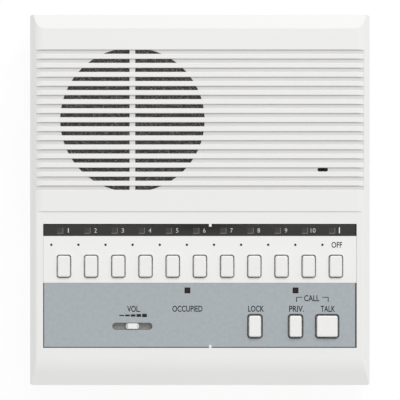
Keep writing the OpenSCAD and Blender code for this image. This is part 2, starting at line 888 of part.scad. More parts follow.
module key_switches() color(black) {
    switch_bodies(station_xs, key_y);
    switch_bodies(function_xs, function_y);
}

module key_springs() color(steel) {
    for (p = concat([for (x = station_xs) [x, key_y]], [for (x = function_xs) [x, function_y]])) {
        translate([p[0], p[1], frame_z + sheet_t]) ring(spring_d / 2, spring_d / 2 - spring_wire, spring_l);
    }
}

// Flat bar that slides between the frame and the switches, with a tab bent down at its left end
module latch_bar() color(steel) {
    x1 = max(station_xs) + frame_end;
    translate([0, key_y, 0]) {
        translate([0, 0, latch_z]) linear_extrude(latch_t) difference() {
            translate([latch_end, -latch_h / 2]) square([x1 - latch_end, latch_h]);
            stem_holes(station_xs, latch_travel);
        }
        translate([latch_end, -latch_h / 2, latch_z - latch_tab_l])
            cube([sheet_t - bank_gap, latch_h, latch_tab_l]);
    }
}

module latch_spring() color(steel)
    translate([stop_x, key_y, latch_z - latch_tab_l / 2]) rotate([0, 90, 0])
        ring(latch_spring_d / 2, latch_spring_d / 2 - spring_wire, latch_spring_l);

// Volume control

// Knob with a flat middle that slopes down to both ends, seated on its lever
module volume_knob() color(white_plastic) {
    top = plate_z + knob_proud;
    low = under_z + knob_gap;
    knob_h = slot_h - 2 * knob_gap;
    shoulder = top - knob_slope;
    translate([volume_x, function_y, 0]) difference() {
        intersection() {
            translate([0, 0, top]) rounded_block(knob_w, knob_h, top - low, knob_h / 2.5, knob_h / 8);
            rotate([90, 0, 0]) linear_extrude(knob_h + eps, center = true) polygon([
                [-knob_w / 2, low], [knob_w / 2, low], [knob_w / 2, shoulder],
                [knob_flat / 2, top], [-knob_flat / 2, top], [-knob_w / 2, shoulder]
            ]);
        }
        translate([0, 0, low]) cube([lever_w + fit, lever_t + fit, 2 * (lever_in + fit)], center = true);
    }
}

module volume_lever() color(black) {
    low = pot_z + pot_d / 2;
    high = under_z + knob_gap + lever_in;
    translate([volume_x, function_y, 0])
        box([-lever_w / 2, -lever_t / 2, low], [lever_w / 2, lever_t / 2, high]);
}

// Strip that rides on the lever and keeps the slot closed along the whole travel
module volume_shield() color(slot_grey)
    translate([volume_x, function_y, under_z - fit - shield_t]) linear_extrude(shield_t) difference() {
        square([shield_l, shield_h], center = true);
        square([lever_w + 2 * fit, lever_t + 2 * fit], center = true);
    }

module volume_pot() color(steel)
    translate([volume_x, function_y, pot_z]) difference() {
        translate([0, 0, pot_d / 2]) cube([pot_l, pot_h, pot_d], center = true);
        translate([0, 0, pot_d / 2 - bank_gap]) linear_extrude(pot_d)
            square([volume_travel + lever_w + 2 * bank_gap, lever_t + 2 * bank_gap], center = true);
    }

module volume_board() color(board_tan)
    board(volume_x - volume_post_x - board_edge, volume_x + volume_post_x + board_edge,
        function_y - volume_board_h / 2, function_y + volume_board_h / 2, volume_board_z, volume_posts);

// Boards and lamps

// Circuit board with screw holes
module board(x0, x1, y0, y1, z, holes) {
    difference() {
        box([x0, y0, z], [x1, y1, z + board_t]);
        for (p = holes) {
            translate([p[0], p[1], z - eps]) cylinder(d = post_hole_d, h = board_t + 2 * eps);
        }
    }
}

module key_board() color(board_tan)
    board(-board_w / 2, board_w / 2, board_y0, board_y1, board_z - board_t, board_posts);

module lamp_board() color(board_tan)
    board(-board_w / 2, board_w / 2, strip_mid_y - lamp_board_h / 2, strip_mid_y + lamp_board_h / 2,
        lamp_board_z, lamp_posts);

module station_lamps() color("firebrick") {
    for (x = station_xs) {
        translate([x - lamp_dx, strip_mid_y, lamp_board_z + board_t + lamp_l / 2])
            cube([lamp_size, lamp_size, lamp_l], center = true);
    }
}

// Square light guides with a flange against the back of the case
module light_pipes() color("maroon") {
    flange = lamp_size + 2 * pipe_lip;
    for (x = [busy_x, privacy_x]) {
        translate([x, lamp_y, 0]) {
            box([-lamp_size / 2, -lamp_size / 2, board_z + led_l + bank_gap],
                [lamp_size / 2, lamp_size / 2, plate_z - fit]);
            box([-flange / 2, -flange / 2, under_z - flange_t], [flange / 2, flange / 2, under_z]);
        }
    }
}

module panel_leds() color("red") {
    for (x = [busy_x, privacy_x]) {
        translate([x, lamp_y, board_z]) {
            cylinder(d = led_d, h = led_l - led_d / 2);
            translate([0, 0, led_l - led_d / 2]) sphere(d = led_d);
            cylinder(d = led_d + 2 * led_rim, h = led_rim_h);
        }
    }
}

// Loudspeaker

module at_speaker(z) {
    translate([speaker_x, speaker_y, z]) children();
}

module grille_cloth() color([0.27, 0.26, 0.25])
    at_speaker(inner_z - cloth_t) cylinder(r = speaker_r, h = cloth_t, $fn = 120);

module speaker_gasket() color(black) at_speaker(gasket_z) ring(speaker_r, speaker_r - rim_w, gasket_t);

// Pressed steel basket: rim, four struts and hub
module speaker_basket() color(steel) {
    window_h = basket_d * 0.55;
    window_w = hub_r * 1.2;
    window_z = hub_z + basket_d * 0.2;
    at_speaker(0) {
        difference() {
            rotate_extrude($fn = 120) polygon([
                [speaker_r, rim_z], [speaker_r, rim_z + basket_t], [speaker_r - rim_w, rim_z + basket_t],
                [hub_r, hub_z + basket_t], [gap_r, hub_z + basket_t], [gap_r, hub_z],
                [hub_r + basket_t, hub_z], [speaker_r - rim_w + basket_t, rim_z]
            ]);
            for (a = [45:90:315]) {
                rotate(a) translate([speaker_r / 2, -window_w / 2, window_z])
                    cube([speaker_r, window_w, window_h]);
            }
        }
        translate([basket_r(tag_z) + tag_l / 2, 0, tag_z]) cube([tag_l, tag_l, basket_t], center = true);
    }
}

// Paper cone with its rolled edge, the lip under the gasket and the voice coil
module speaker_cone() color([0.16, 0.15, 0.15]) {
    lip_z = rim_z + basket_t;
    edge_r = speaker_r - rim_w - roll_r;
    at_speaker(0) rotate_extrude($fn = 120) {
        polygon([
            [coil_r + coil_t, neck_z], [cone_r, lip_z], [edge_r - roll_r, lip_z], [edge_r, lip_z + roll_r],
            [edge_r + roll_r, lip_z], [speaker_r, lip_z], [speaker_r, lip_z + cone_t],
            [edge_r + roll_r, lip_z + cone_t], [edge_r, lip_z + roll_r + cone_t],
            [edge_r - roll_r, lip_z + cone_t], [cone_r, lip_z + cone_t],
            [coil_r + coil_t, neck_z + 2 * cone_t]
        ]);
    }
    at_speaker(hub_z - pole_t - coil_over)
        ring(coil_r + coil_t, coil_r, neck_up + 2 * cone_t + pole_t + coil_over);
}

module dust_cap() color([0.12, 0.12, 0.12]) {
    cap_r = coil_r + coil_t + cap_lip;
    dome_r = cap_r * 1.3;
    dome_z = sqrt(dome_r * dome_r - cap_r * cap_r);
    cone_rise = (rim_z + basket_t - neck_z) / (cone_r - coil_r - coil_t);
    at_speaker(neck_z + 2 * cone_t + cone_rise + 2 * fit) rotate_extrude($fn = 90) intersection() {
        translate([0, -dome_z]) difference() {
            circle(dome_r);
            circle(dome_r - 2 * cone_t);
        }
        square([dome_r, dome_r]);
    }
}

module pole_plate() color(steel) at_speaker(hub_z - pole_t) ring(magnet_r - pole_in, gap_r, pole_t);

module speaker_magnet() color([0.22, 0.22, 0.23])
    at_speaker(hub_z - pole_t - magnet_t) ring(magnet_r, gap_r + magnet_bore_gap, magnet_t);

module speaker_yoke() color(steel) at_speaker(hub_z - 2 * pole_t - magnet_t) {
    cylinder(r = magnet_r - pole_in, h = pole_t);
    cylinder(r = pole_r, h = 2 * pole_t + magnet_t);
}

module speaker_screws() color(steel) {
    for (a = [45:90:315]) {
        at_speaker(rim_z) rotate(a) translate([clamp_post_at, 0, 0])
            screw(clamp_screw_d, clamp_screw_l - fit, 2 * clamp_r, head_h);
    }
}

// Microphone

module mic_boot() color(black) translate([mic_x, mic_y, inner_z - mic_l]) difference() {
    cylinder(r = mic_d / 2 + boot_t, h = mic_l);
    translate([0, 0, -eps]) cylinder(r = mic_d / 2 + fit / 2, h = mic_l - boot_t / 2 + eps);
    cylinder(d = mic_slot_h, h = mic_l + eps);
}

module mic_capsule() color("silver")
    translate([mic_x, mic_y, inner_z - mic_l - boot_t / 2]) cylinder(d = mic_d, h = mic_l);

// Amplifier

module at_amp(p, z) {
    translate([amp_x0 + p[0], amp_y0 + p[1], z]) children();
}

module amp_board() color("darkgreen") board(amp_x0, amp_x1, amp_y0, amp_y1, amp_z, amp_posts);

module capacitors() color("navy") {
    for (c = cans) {
        at_amp(c, amp_top_z) cylinder(r = c[2], h = c[3]);
    }
}

module heat_sink() color("gainsboro") at_amp(sink_at, amp_top_z) {
    box([-sink_l / 2, 0, 0], [sink_l / 2, sink_base, sink_h]);
    for (i = [0:fin_n - 1]) {
        translate([-sink_l / 2 + i * (sink_l - fin_t) / (fin_n - 1), sink_base - fit, 0])
            cube([fin_t, fin_l, sink_h]);
    }
}

module amplifier_chip() color(black) at_amp(sink_at, amp_top_z) {
    box([-chip_l / 2, -chip_t, chip_up], [chip_l / 2, 0, chip_up + chip_h]);
    for (i = [0:pin_n - 1]) {
        translate([(i - (pin_n - 1) / 2) * pin_pitch, -chip_t / 2, chip_up / 2 + fit])
            cube([pin_t, pin_t, chip_up + 2 * fit], center = true);
    }
}

// Laminated core with two windows, standing on the board
module transformer_core() color(steel) at_amp(core_at, amp_top_z) difference() {
    box([-core_l / 2, -core_t / 2, 0], [core_l / 2, core_t / 2, core_h]);
    for (s = [-1, 1]) {
        translate([s * (core_l / 4 + leg_w / 4 - yoke_w / 2), 0, core_h / 2])
            cube([core_l / 2 - leg_w / 2 - yoke_w, core_t + 2 * eps, core_h - 2 * yoke_w], center = true);
    }
}

// Winding around the core's middle leg
module transformer_coil() color("goldenrod") at_amp(core_at, amp_top_z + core_h / 2) difference() {
    wide = core_l - 2 * yoke_w - 2 * bank_gap;
    high = core_h - 2 * yoke_w - 2 * bank_gap;
    cube([wide, core_t + 2 * coil_out, high], center = true);
    cube([leg_w + 2 * fit, core_t + 2 * fit, high + 2 * eps], center = true);
}

module board_connectors() color("ivory") {
    half = ribbon_w / 2 + connector_end;
    box([connector_x - half, amp_connector_y, amp_top_z],
        [connector_x + half, amp_connector_y + connector_h, amp_top_z + connector_d]);
    box([connector_x - half, key_connector_y, board_z - board_t - connector_d],
        [connector_x + half, key_connector_y + connector_h, board_z - board_t]);
}

// Flat ribbon of the given width along a path of [y, z] points
module ribbon(x, path) {
    lower = [for (p = path) p];
    upper = [for (i = [len(path) - 1:-1:0]) path[i] + [0, ribbon_t]];
    translate([x, 0, 0]) rotate([90, 0, 90])
        linear_extrude(ribbon_w, center = true) polygon(concat(lower, upper));
}

module ribbon_cables() color("lightgray") {
    from_y = key_connector_y + connector_h;
    from_z = board_z - board_t - ribbon_mid;
    to_z = amp_top_z + ribbon_mid;
    span = amp_connector_y - from_y;
    ribbon(connector_x, [
        [from_y, from_z], [from_y + span * 0.3, from_z], [amp_connector_y - span * 0.3, to_z],
        [amp_connector_y, to_z]
    ]);
    lamp_foot_y = board_y1 - ribbon_in;
    lamp_head_y = strip_mid_y - lamp_board_h / 2 + ribbon_in;
    translate([lamp_ribbon_x, 0, 0]) rotate([90, 0, 90]) linear_extrude(ribbon_w / 2, center = true)
        polygon([
            [lamp_foot_y, board_z], [lamp_foot_y + ribbon_t, board_z],
            [lamp_head_y + ribbon_t, lamp_board_z], [lamp_head_y, lamp_board_z]
        ]);
    translate([volume_x, function_y, 0])
        box([-ribbon_w / 4, -ribbon_t / 2, board_z], [ribbon_w / 4, ribbon_t / 2, volume_board_z]);
}

// Two-core leads of the loudspeaker and the microphone
module leads() color("dimgray") {
    start = [speaker_x + basket_r(tag_z) + tag_l, tag_z - basket_t / 2];
    land = [amp_x0 + lead_t + lead_in, amp_top_z];
    translate([0, speaker_y, 0]) rotate([90, 0, 0]) linear_extrude(lead_w, center = true) polygon([
        start, start - [lead_t, 0], start - [lead_t, lead_bend],
        land + [-lead_t - lead_bend, 2 * lead_bend], land + [-lead_t, lead_bend], land - [lead_t, 0],
        land, land + [0, lead_bend + lead_t], land + [-lead_bend, 2 * lead_bend + lead_t],
        start - [0, lead_bend - lead_t]
    ]);
    box([mic_x - lead_w / 2, mic_y - lead_t / 2, amp_top_z],
        [mic_x + lead_w / 2, mic_y + lead_t / 2, inner_z - mic_l - boot_t / 2]);
}

// Terminals and rear cover

// Terminal places along the block
module at_terminals() {
    for (i = [0:terminal_n - 1]) {
        translate([(i - (terminal_n - 1) / 2) * terminal_pitch, bay_y, 0]) children();
    }
}

module terminal_block() color(black) difference() {
    union() {
        translate([0, bay_y, bay_z - terminal_d / 2])
            cube([terminal_l, terminal_h, terminal_d], center = true);
        translate([0, bay_y, bay_z - ear_t / 2])
            cube([terminal_l + 2 * ear_l, terminal_h, ear_t], center = true);
    }
    at_terminals() translate([0, 0, terminal_z - eps]) {
        cylinder(d = terminal_head_d + 6 * fit, h = terminal_well + eps);
        cylinder(d = terminal_shank_d + 2 * fit, h = terminal_d);
        translate([0, 0, eps + terminal_well / 2])
            cube([terminal_head_d * 0.6, terminal_h + 2 * eps, terminal_well], center = true);
    }
    for (s = [-1, 1]) {
        translate([s * ear_x, bay_y, bay_z - ear_t - eps]) cylinder(d = post_hole_d, h = ear_t + 2 * eps);
    }
}

module terminal_screws() color("darkgoldenrod")
    at_terminals() translate([0, 0, terminal_z + terminal_well])
        screw(terminal_shank_d, terminal_d - terminal_well - terminal_end, terminal_head_d, head_h);

module rear_body() {
    w = case_w - 2 * rear_inset;
    h = case_h - 2 * rear_inset;
    intersection() {
        translate([0, 0, foot_h]) linear_extrude(rear_d) rounded_rect(w, h, corner_r);
        translate([0, 0, face_z]) rotate([90, 0, 0]) linear_extrude(h + eps, center = true)
            rounded_rect(w, 2 * case_d, rear_edge_r);
        translate([0, 0, face_z]) rotate([90, 0, 90]) linear_extrude(w + eps, center = true)
            rounded_rect(h, 2 * case_d, rear_edge_r);
    }
}

module rear_cover() color(white_plastic) {
    inner_x = side_x - rear_inset - rear_wall;
    inner_y = top_y - rear_inset - rear_wall;
    difference() {
        union() {
            difference() {
                union() {
                    rear_body();
                    box([-lip_x, -lip_y, part_z - eps], [lip_x, lip_y, part_z + lip_h]);
                }
                box([-inner_x, -inner_y, back_z], [inner_x, inner_y, part_z]);
                box([lip_t - lip_x, lip_t - lip_y, part_z - eps], [lip_x - lip_t, lip_y - lip_t, face_z]);
            }
            box([-bay_w / 2 - bay_t, bay_y0 - bay_t, foot_h + eps],
                [bay_w / 2 + bay_t, bay_y1 + bay_t, bay_top_z]);
            box([-channel_w / 2 - bay_t, bay_y1, foot_h + eps],
                [channel_w / 2 + bay_t, inner_y + eps, foot_h + channel_d + bay_t]);
            for (s = [-1, 1]) {
                translate([s * ear_x, bay_y, bay_top_z - eps]) cylinder(d = post_d, h = ear_boss_h + eps);
            }
            for (p = corners) {
                translate([p[0], p[1], back_z - eps]) cylinder(d = rear_post_d, h = part_z - back_z + eps);
            }
            for (p = amp_posts) {
                translate([p[0], p[1], back_z - eps]) cylinder(d = post_d, h = amp_up + eps);
            }
        }
        box([-bay_w / 2, bay_y0, foot_h - eps], [bay_w / 2, bay_y1, bay_z]);
        box([-channel_w / 2, bay_y1 - eps, foot_h - eps], [channel_w / 2, top_y + eps, foot_h + channel_d]);
        for (s = [-1, 1]) {
            translate([s * ear_x, bay_y, bay_z - eps])
                cylinder(d = post_hole_d, h = bay_t + ear_boss_h + 2 * eps);
        }
        for (p = corners) {
            translate([p[0], p[1], foot_h - eps])
                cylinder(d = case_head_d + 6 * fit, h = case_head_in + eps);
            translate([p[0], p[1], foot_h]) cylinder(d = case_hole_d, h = rear_d + eps);
        }
        for (p = amp_posts) {
            translate([p[0], p[1], back_z]) cylinder(d = post_hole_d, h = amp_up + eps);
        }
        for (p = foot_places) {
            translate([p[0], p[1], foot_h - eps]) cylinder(d = foot_d + 2 * fit, h = foot_in + eps);
        }
        for (s = [-1, 1]) {
            translate([s * keyhole_spacing / 2, keyhole_y, foot_h - eps]) {
                cylinder(d = keyhole_d, h = rear_t + 2 * eps);
                translate([0, keyhole_slot_l, 0]) cylinder(d = keyhole_slot_w, h = rear_t + 2 * eps);
                translate([-keyhole_slot_w / 2, 0, 0])
                    cube([keyhole_slot_w, keyhole_slot_l, rear_t + 2 * eps]);
            }
        }
        translate([(amp_x0 + amp_x1) / 2, (amp_y0 + amp_y1) / 2, foot_h - eps]) {
            for (i = [0:vent_n - 1]) {
                translate([0, (i - (vent_n - 1) / 2) * vent_pitch, 0])
                    linear_extrude(rear_t + 2 * eps) pill(vent_l, vent_w);
            }
        }
    }
}

module feet() color([0.15, 0.15, 0.15]) {
    for (p = foot_places) {
        translate(p) cylinder(d = foot_d, h = foot_h + foot_in);
    }
}

module case_screws() color(steel) {
    for (p = corners) {
        translate([p[0], p[1], head_z]) screw(case_screw_d, case_screw_l - fit, case_head_d, head_h);
    }
}

module board_screw(length) {
    screw(board_screw_d, length, board_head_d, head_h);
}

module board_screws() color(steel) {
    short = board_screw_l - fit;
    for (p = board_posts) {
        translate([p[0], p[1], board_z - board_t]) board_screw(short + board_t);
    }
    for (p = lamp_posts) {
        translate([p[0], p[1], lamp_board_z]) board_screw(short);
    }
    for (p = volume_posts) {
        translate([p[0], p[1], volume_board_z]) board_screw(short + board_t);
    }
    for (p = amp_posts) {
        translate([p[0], p[1], amp_top_z]) mirror([0, 0, 1]) board_screw(short);
    }
    for (s = [-1, 1]) {
        translate([s * ear_x, bay_y, bay_z - ear_t]) board_screw(short);
    }
}

front_case();
rear_cover();
indicator_window();
name_plate();
control_plate();
grille_cloth();
for (i = [1:key_n - 1]) station_key(i);
station_key(key_n);  // key_off
lock_key();
privacy_key();
talk_key();
volume_knob();
volume_lever();
volume_shield();
volume_pot();
volume_board();
key_bank_frame();
key_switches();
key_springs();
latch_bar();
latch_spring();
function_frame();
key_board();
lamp_board();
station_lamps();
light_pipes();
panel_leds();
speaker_gasket();
speaker_basket();
speaker_cone();
dust_cap();
pole_plate();
speaker_magnet();
speaker_yoke();
speaker_screws();
mic_boot();
mic_capsule();
amp_board();
capacitors();
amplifier_chip();
heat_sink();
transformer_core();
transformer_coil();
board_connectors();
ribbon_cables();
leads();
terminal_block();
terminal_screws();
board_screws();
case_screws();
feet();
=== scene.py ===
import json
import math
from functools import partial

import bmesh
import bpy
from mathutils import Matrix, Vector

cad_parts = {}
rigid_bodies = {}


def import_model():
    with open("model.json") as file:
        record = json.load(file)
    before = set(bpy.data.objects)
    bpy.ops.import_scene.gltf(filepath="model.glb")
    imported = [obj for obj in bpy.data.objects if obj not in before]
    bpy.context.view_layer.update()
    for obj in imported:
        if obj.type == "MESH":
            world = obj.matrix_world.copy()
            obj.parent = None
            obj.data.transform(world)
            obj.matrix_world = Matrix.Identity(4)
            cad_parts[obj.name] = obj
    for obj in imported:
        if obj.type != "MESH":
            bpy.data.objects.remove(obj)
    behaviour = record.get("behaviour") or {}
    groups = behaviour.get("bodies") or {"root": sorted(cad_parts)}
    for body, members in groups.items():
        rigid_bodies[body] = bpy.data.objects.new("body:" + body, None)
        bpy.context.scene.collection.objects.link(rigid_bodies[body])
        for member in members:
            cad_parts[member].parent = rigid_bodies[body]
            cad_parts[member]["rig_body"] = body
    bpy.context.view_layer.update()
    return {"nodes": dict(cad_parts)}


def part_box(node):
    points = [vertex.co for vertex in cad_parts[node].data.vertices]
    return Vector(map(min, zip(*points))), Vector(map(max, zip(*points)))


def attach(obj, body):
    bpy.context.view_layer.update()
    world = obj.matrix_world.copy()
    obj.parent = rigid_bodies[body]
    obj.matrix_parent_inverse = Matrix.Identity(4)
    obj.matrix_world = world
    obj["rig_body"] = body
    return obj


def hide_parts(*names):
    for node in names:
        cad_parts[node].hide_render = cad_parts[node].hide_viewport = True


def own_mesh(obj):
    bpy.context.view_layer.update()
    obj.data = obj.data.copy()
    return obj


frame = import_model()

# Studio: the station lies on its back on a white table and a long lens looks straight down on
# its face. A white room, brighter beyond the loudspeaker end and darker only where the lens itself
# is mirrored, lights it from all sides, and one broad lamp there draws the soft shadows.
MM = 0.001
scene = bpy.context.scene
scene.view_settings.view_transform = "Standard"
face_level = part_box("front_case")[1].z


def placed(name, data):
    """A new object in the scene."""
    thing = bpy.data.objects.new(name, data)
    scene.collection.objects.link(thing)
    return thing


camera_distance = 1.8
picture_width = 0.24699
lens = bpy.data.cameras.new("camera")
lens.sensor_width = 36
lens.lens = lens.sensor_width * camera_distance / picture_width
lens.clip_start = 0.05
lens.clip_end = 30
camera = placed("camera", lens)
camera.location = (0.06 * MM, -0.03 * MM, face_level + camera_distance)
scene.camera = camera

bright_side = Vector((0.2, 0.6, 0.775)).normalized()
lamp_distance = 3.2
window_light = bpy.data.lights.new("window_lamp", "AREA")
window_light.size = 1.3
window_light.energy = 36
window_lamp = placed("window_lamp", window_light)
window_lamp.location = bright_side * lamp_distance
window_lamp.rotation_euler = (-bright_side).to_track_quat("-Z", "Y").to_euler()


def feed(tree, socket, value):
    """Links an output to a socket, or sets a constant on it."""
    if isinstance(value, bpy.types.NodeSocket):
        tree.links.new(value, socket)
    elif socket.type == "RGBA":
        socket.default_value = (*value, 1)
    else:
        socket.default_value = value


def add_node(tree, kind, *values, output=0, settings=None, **sockets):
    """One output of a new node, whose sockets are fed in order or by label; a list is several links."""
    node = tree.nodes.new(kind)
    for label, value in (settings or {}).items():
        setattr(node, label, value)
    for key, value in (*enumerate(values), *sockets.items()):
        socket = node.inputs[key.replace("_", " ") if isinstance(key, str) else key]
        for part in value if isinstance(value, list) else [value]:
            feed(tree, socket, part)
    return node.outputs[output]


def math_node(tree, operation, *values):
    return add_node(tree, "ShaderNodeMath", *values, settings={"operation": operation})


def vector_node(tree, operation, *values, output="Vector", **sockets):
    settings = {"operation": operation}
    return add_node(tree, "ShaderNodeVectorMath", *values, output=output, settings=settings, **sockets)


def smooth_step(tree, value, **ends):
    """A value drawn smoothly from one range to another."""
    return add_node(tree, "ShaderNodeMapRange", value, settings={"interpolation_type": "SMOOTHSTEP"}, **ends)


def seen_directly(tree):
    """1 for camera, mirror and glass rays, which see the white room, and 0 for light."""
    rays = tree.nodes.new("ShaderNodeLightPath").outputs
    seen = math_node(tree, "MAXIMUM", rays["Is Camera Ray"], rays["Is Glossy Ray"])
    return math_node(tree, "MAXIMUM", seen, rays["Is Transmission Ray"])


room = bpy.data.worlds.new("white_room")
room.use_nodes = True
scene.world = room
sky = room.node_tree
light_swing = 0.57
light_middle = 0.47
lens_mirrored = (0.0004, 0, 1)
lens_reach = 0.0108
room_reach = 0.0128
lens_shade = 0.35
ray_direction = add_node(sky, "ShaderNodeTexCoord", output="Generated")
toward_light = vector_node(sky, "DOT_PRODUCT", ray_direction, bright_side, output="Value")
room_light = math_node(sky, "MULTIPLY_ADD", toward_light, light_swing, light_middle)
room_light.node.use_clamp = True
from_lens = vector_node(sky, "DISTANCE", ray_direction, lens_mirrored, output="Value")
beside_lens = smooth_step(sky, from_lens, From_Min=lens_reach, From_Max=room_reach, To_Min=lens_shade)
brightness = add_node(
    sky, "ShaderNodeMix", settings={"data_type": "FLOAT"}, Factor=seen_directly(sky), A=room_light, B=beside_lens
)
feed(sky, sky.nodes["Background"].inputs["Strength"], brightness)
feed(sky, sky.nodes["Background"].inputs["Color"], (1, 1, 1))

table_half = 6.0
table_level = -0.1 * MM
table_sides = [(-1, -1), (1, -1), (1, 1), (-1, 1)]
table_corners = [(x * table_half, y * table_half, table_level) for x, y in table_sides]
table_mesh = bpy.data.meshes.new("table")
table_mesh.from_pydata(table_corners, [], [(0, 1, 2, 3)])
table = placed("table", table_mesh)
table_white = bpy.data.materials.new("table_white")
table_white.use_nodes = True
top = table_white.node_tree
top.nodes.remove(top.nodes["Principled BSDF"])
mixed_shader = partial(add_node, top, "ShaderNodeMixShader")
paper_white = (0.7, 0.7, 0.7)
paper_share = 0.14
glow_share = 0.3
paper = add_node(top, "ShaderNodeBsdfDiffuse", Color=paper_white)
glow = add_node(top, "ShaderNodeEmission", Strength=1.05)
lit_paper = mixed_shader(paper_share, glow, paper)
bounce = mixed_shader(glow_share, paper, glow)
sheet_top = mixed_shader(seen_directly(top), bounce, lit_paper)
from_below = add_node(top, "ShaderNodeNewGeometry", output="Backfacing")
clear = add_node(top, "ShaderNodeBsdfTransparent")
clear_below = mixed_shader(from_below, sheet_top, clear)
feed(top, top.nodes["Material Output"].inputs["Surface"], clear_below)
table_mesh.materials.append(table_white)

# Front case: one white styrene moulding with a bevelled brow, rounded sides, sixteen grooves and
# a slotted field for the loudspeaker. Its mould has a fine spark texture, and four screws from
# behind hold it to the rear cover.


def new_group(name, colours, values, colours_out=("Colour",), values_out=("Roughness", "Height")):
    """A shader node group with its labelled sockets; returns its tree and the sockets inside its two ends."""
    group = bpy.data.node_groups.new(name, "ShaderNodeTree")
    for in_out, kind, labels in (
        ("INPUT", "NodeSocketColor", colours),
        ("INPUT", "NodeSocketFloat", values),
        ("OUTPUT", "NodeSocketColor", colours_out),
        ("OUTPUT", "NodeSocketFloat", values_out),
    ):
        for label in labels:
            group.interface.new_socket(label, in_out=in_out, socket_type=kind)
    return group, group.nodes.new("NodeGroupInput").outputs, group.nodes.new("NodeGroupOutput").inputs


def give_out(group, ends, **results):
    """Links what a group makes to its outputs."""
    for label, result in results.items():
        feed(group, ends[label], result)


def object_place(tree):
    return add_node(tree, "ShaderNodeTexCoord", output="Object")


def parts_of(tree, place):
    """The X, Y and Z of a place."""
    return add_node(tree, "ShaderNodeSeparateXYZ", place).node.outputs


def noise_of_size(tree, place, size, detail, roughness=0.5):
    """Noise whose lumps are about size metres across."""
    scale = 1 / size if isinstance(size, float) else math_node(tree, "DIVIDE", 1.0, size)
    sockets = {"Vector": place, "Scale": scale, "Detail": detail, "Roughness": roughness}
    return add_node(tree, "ShaderNodeTexNoise", output="Fac", **sockets)


def swing_around(tree, mask, share):
    """A mask that swings about 0.5, turned into a swing about 0 of the given share."""
    return math_node(tree, "MULTIPLY", math_node(tree, "SUBTRACT", mask, 0.5), share)


def shaded_colour(tree, colour, mask, share):
    """The colour made darker and lighter around its own value by a mask that swings about 0.5."""
    level = math_node(tree, "ADD", swing_around(tree, mask, share), 1.0)
    return vector_node(tree, "SCALE", colour, Scale=level)


def mixed_colour(tree, mask, first, second):
    """The first colour where the mask is 0 and the second where it is 1; each is a link or a constant."""
    node = tree.nodes.new("ShaderNodeMix")
    node.data_type = "RGBA"
    for socket, value in ((0, mask), (6, first), (7, second)):
        feed(tree, node.inputs[socket], value)
    return node.outputs[2]


def place_group(tree, group, values):
    """Sets a node group into a material with its own values; returns its outputs."""
    node = tree.nodes.new("ShaderNodeGroup")
    node.node_tree = group
    for label, value in values.items():
        feed(tree, node.inputs[label], value)
    return node.outputs


def new_finish(name, group, values, bump, slot="", **constants):
    """A material whose colour, roughness and bump in millimetres come from a group, and whose constants sit on
    the shader. Its slot argument is not used."""
    material = bpy.data.materials.new(name)
    material.use_nodes = True
    tree = material.node_tree
    pattern = place_group(tree, group, values)
    relief = add_node(tree, "ShaderNodeBump", Strength=0.6, Distance=bump * MM, Height=pattern["Height"])
    sockets = {"Base Color": pattern["Colour"], "Roughness": pattern["Roughness"], "Normal": relief, **constants}
    for label, value in sockets.items():
        feed(tree, tree.nodes["Principled BSDF"].inputs[label.replace("_", " ")], value)
    return material


grain_group, grain_in, grain_out = new_group(
    "moulded_grain", ["Colour"], ["Cloud", "Cloud Size", "Grain Size", "Gloss"]
)
grain_place = object_place(grain_group)
grain_clouds = noise_of_size(grain_group, grain_place, grain_in["Cloud Size"], 3)
grain_pits = noise_of_size(grain_group, grain_place, grain_in["Grain Size"], 2, 0.6)
grain_swing = math_node(
    grain_group, "ADD", swing_around(grain_group, grain_pits, 0.5), swing_around(grain_group, grain_clouds, 0.25)
)
give_out(
    grain_group,
    grain_out,
    Colour=shaded_colour(grain_group, grain_in["Colour"], grain_clouds, grain_in["Cloud"]),
    Roughness=math_node(grain_group, "MULTIPLY_ADD", grain_swing, grain_in["Gloss"], grain_in["Gloss"]),
    Height=grain_pits,
)


def moulded(name, colour, cloud=0.03, cloud_size=30, grain_size=0.4, gloss=0.45, bump=0.02, **more):
    """A finish of plastic, paint, rubber or paper, with its sizes in millimetres."""
    values = {
        "Colour": colour,
        "Cloud": cloud,
        "Cloud Size": cloud_size * MM,
        "Grain Size": grain_size * MM,
        "Gloss": gloss,
    }
    return new_finish(name, grain_group, values, bump, **more)


def plain_mesh(piece):
    """Turns what a piece's modifiers make into its plain mesh."""
    seen = piece.evaluated_get(bpy.context.evaluated_depsgraph_get())
    mesh = bpy.data.meshes.new_from_object(seen)
    piece.modifiers.clear()
    piece.data = mesh
    return mesh


def merged_copy(node):
    """A CAD node's loose triangles as one joined working mesh."""
    work = bmesh.new()
    work.from_mesh(frame["nodes"][node].data)
    bmesh.ops.remove_doubles(work, verts=work.verts, dist=0.002 * MM)
    return work


def piece_of(name, work):
    """A new object from a working mesh, which is used up."""
    mesh = bpy.data.meshes.new(name)
    work.to_mesh(mesh)
    work.free()
    return placed(name, mesh)


def shade_by_angle(mesh, limit):
    """Shades a mesh smooth, except across edges that turn by more than a limit in degrees."""
    work = bmesh.new()
    work.from_mesh(mesh)
    for face in work.faces:
        face.smooth = True
    for edge in work.edges:
        edge.smooth = len(edge.link_faces) == 2 and edge.calc_face_angle() < math.radians(limit)
    work.to_mesh(mesh)
    work.free()


def fixed(piece, node="", body="station"):
    """Makes a piece ride on its body and stand for a CAD node, which it hides."""
    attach(piece, body)
    if node:
        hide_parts(node)


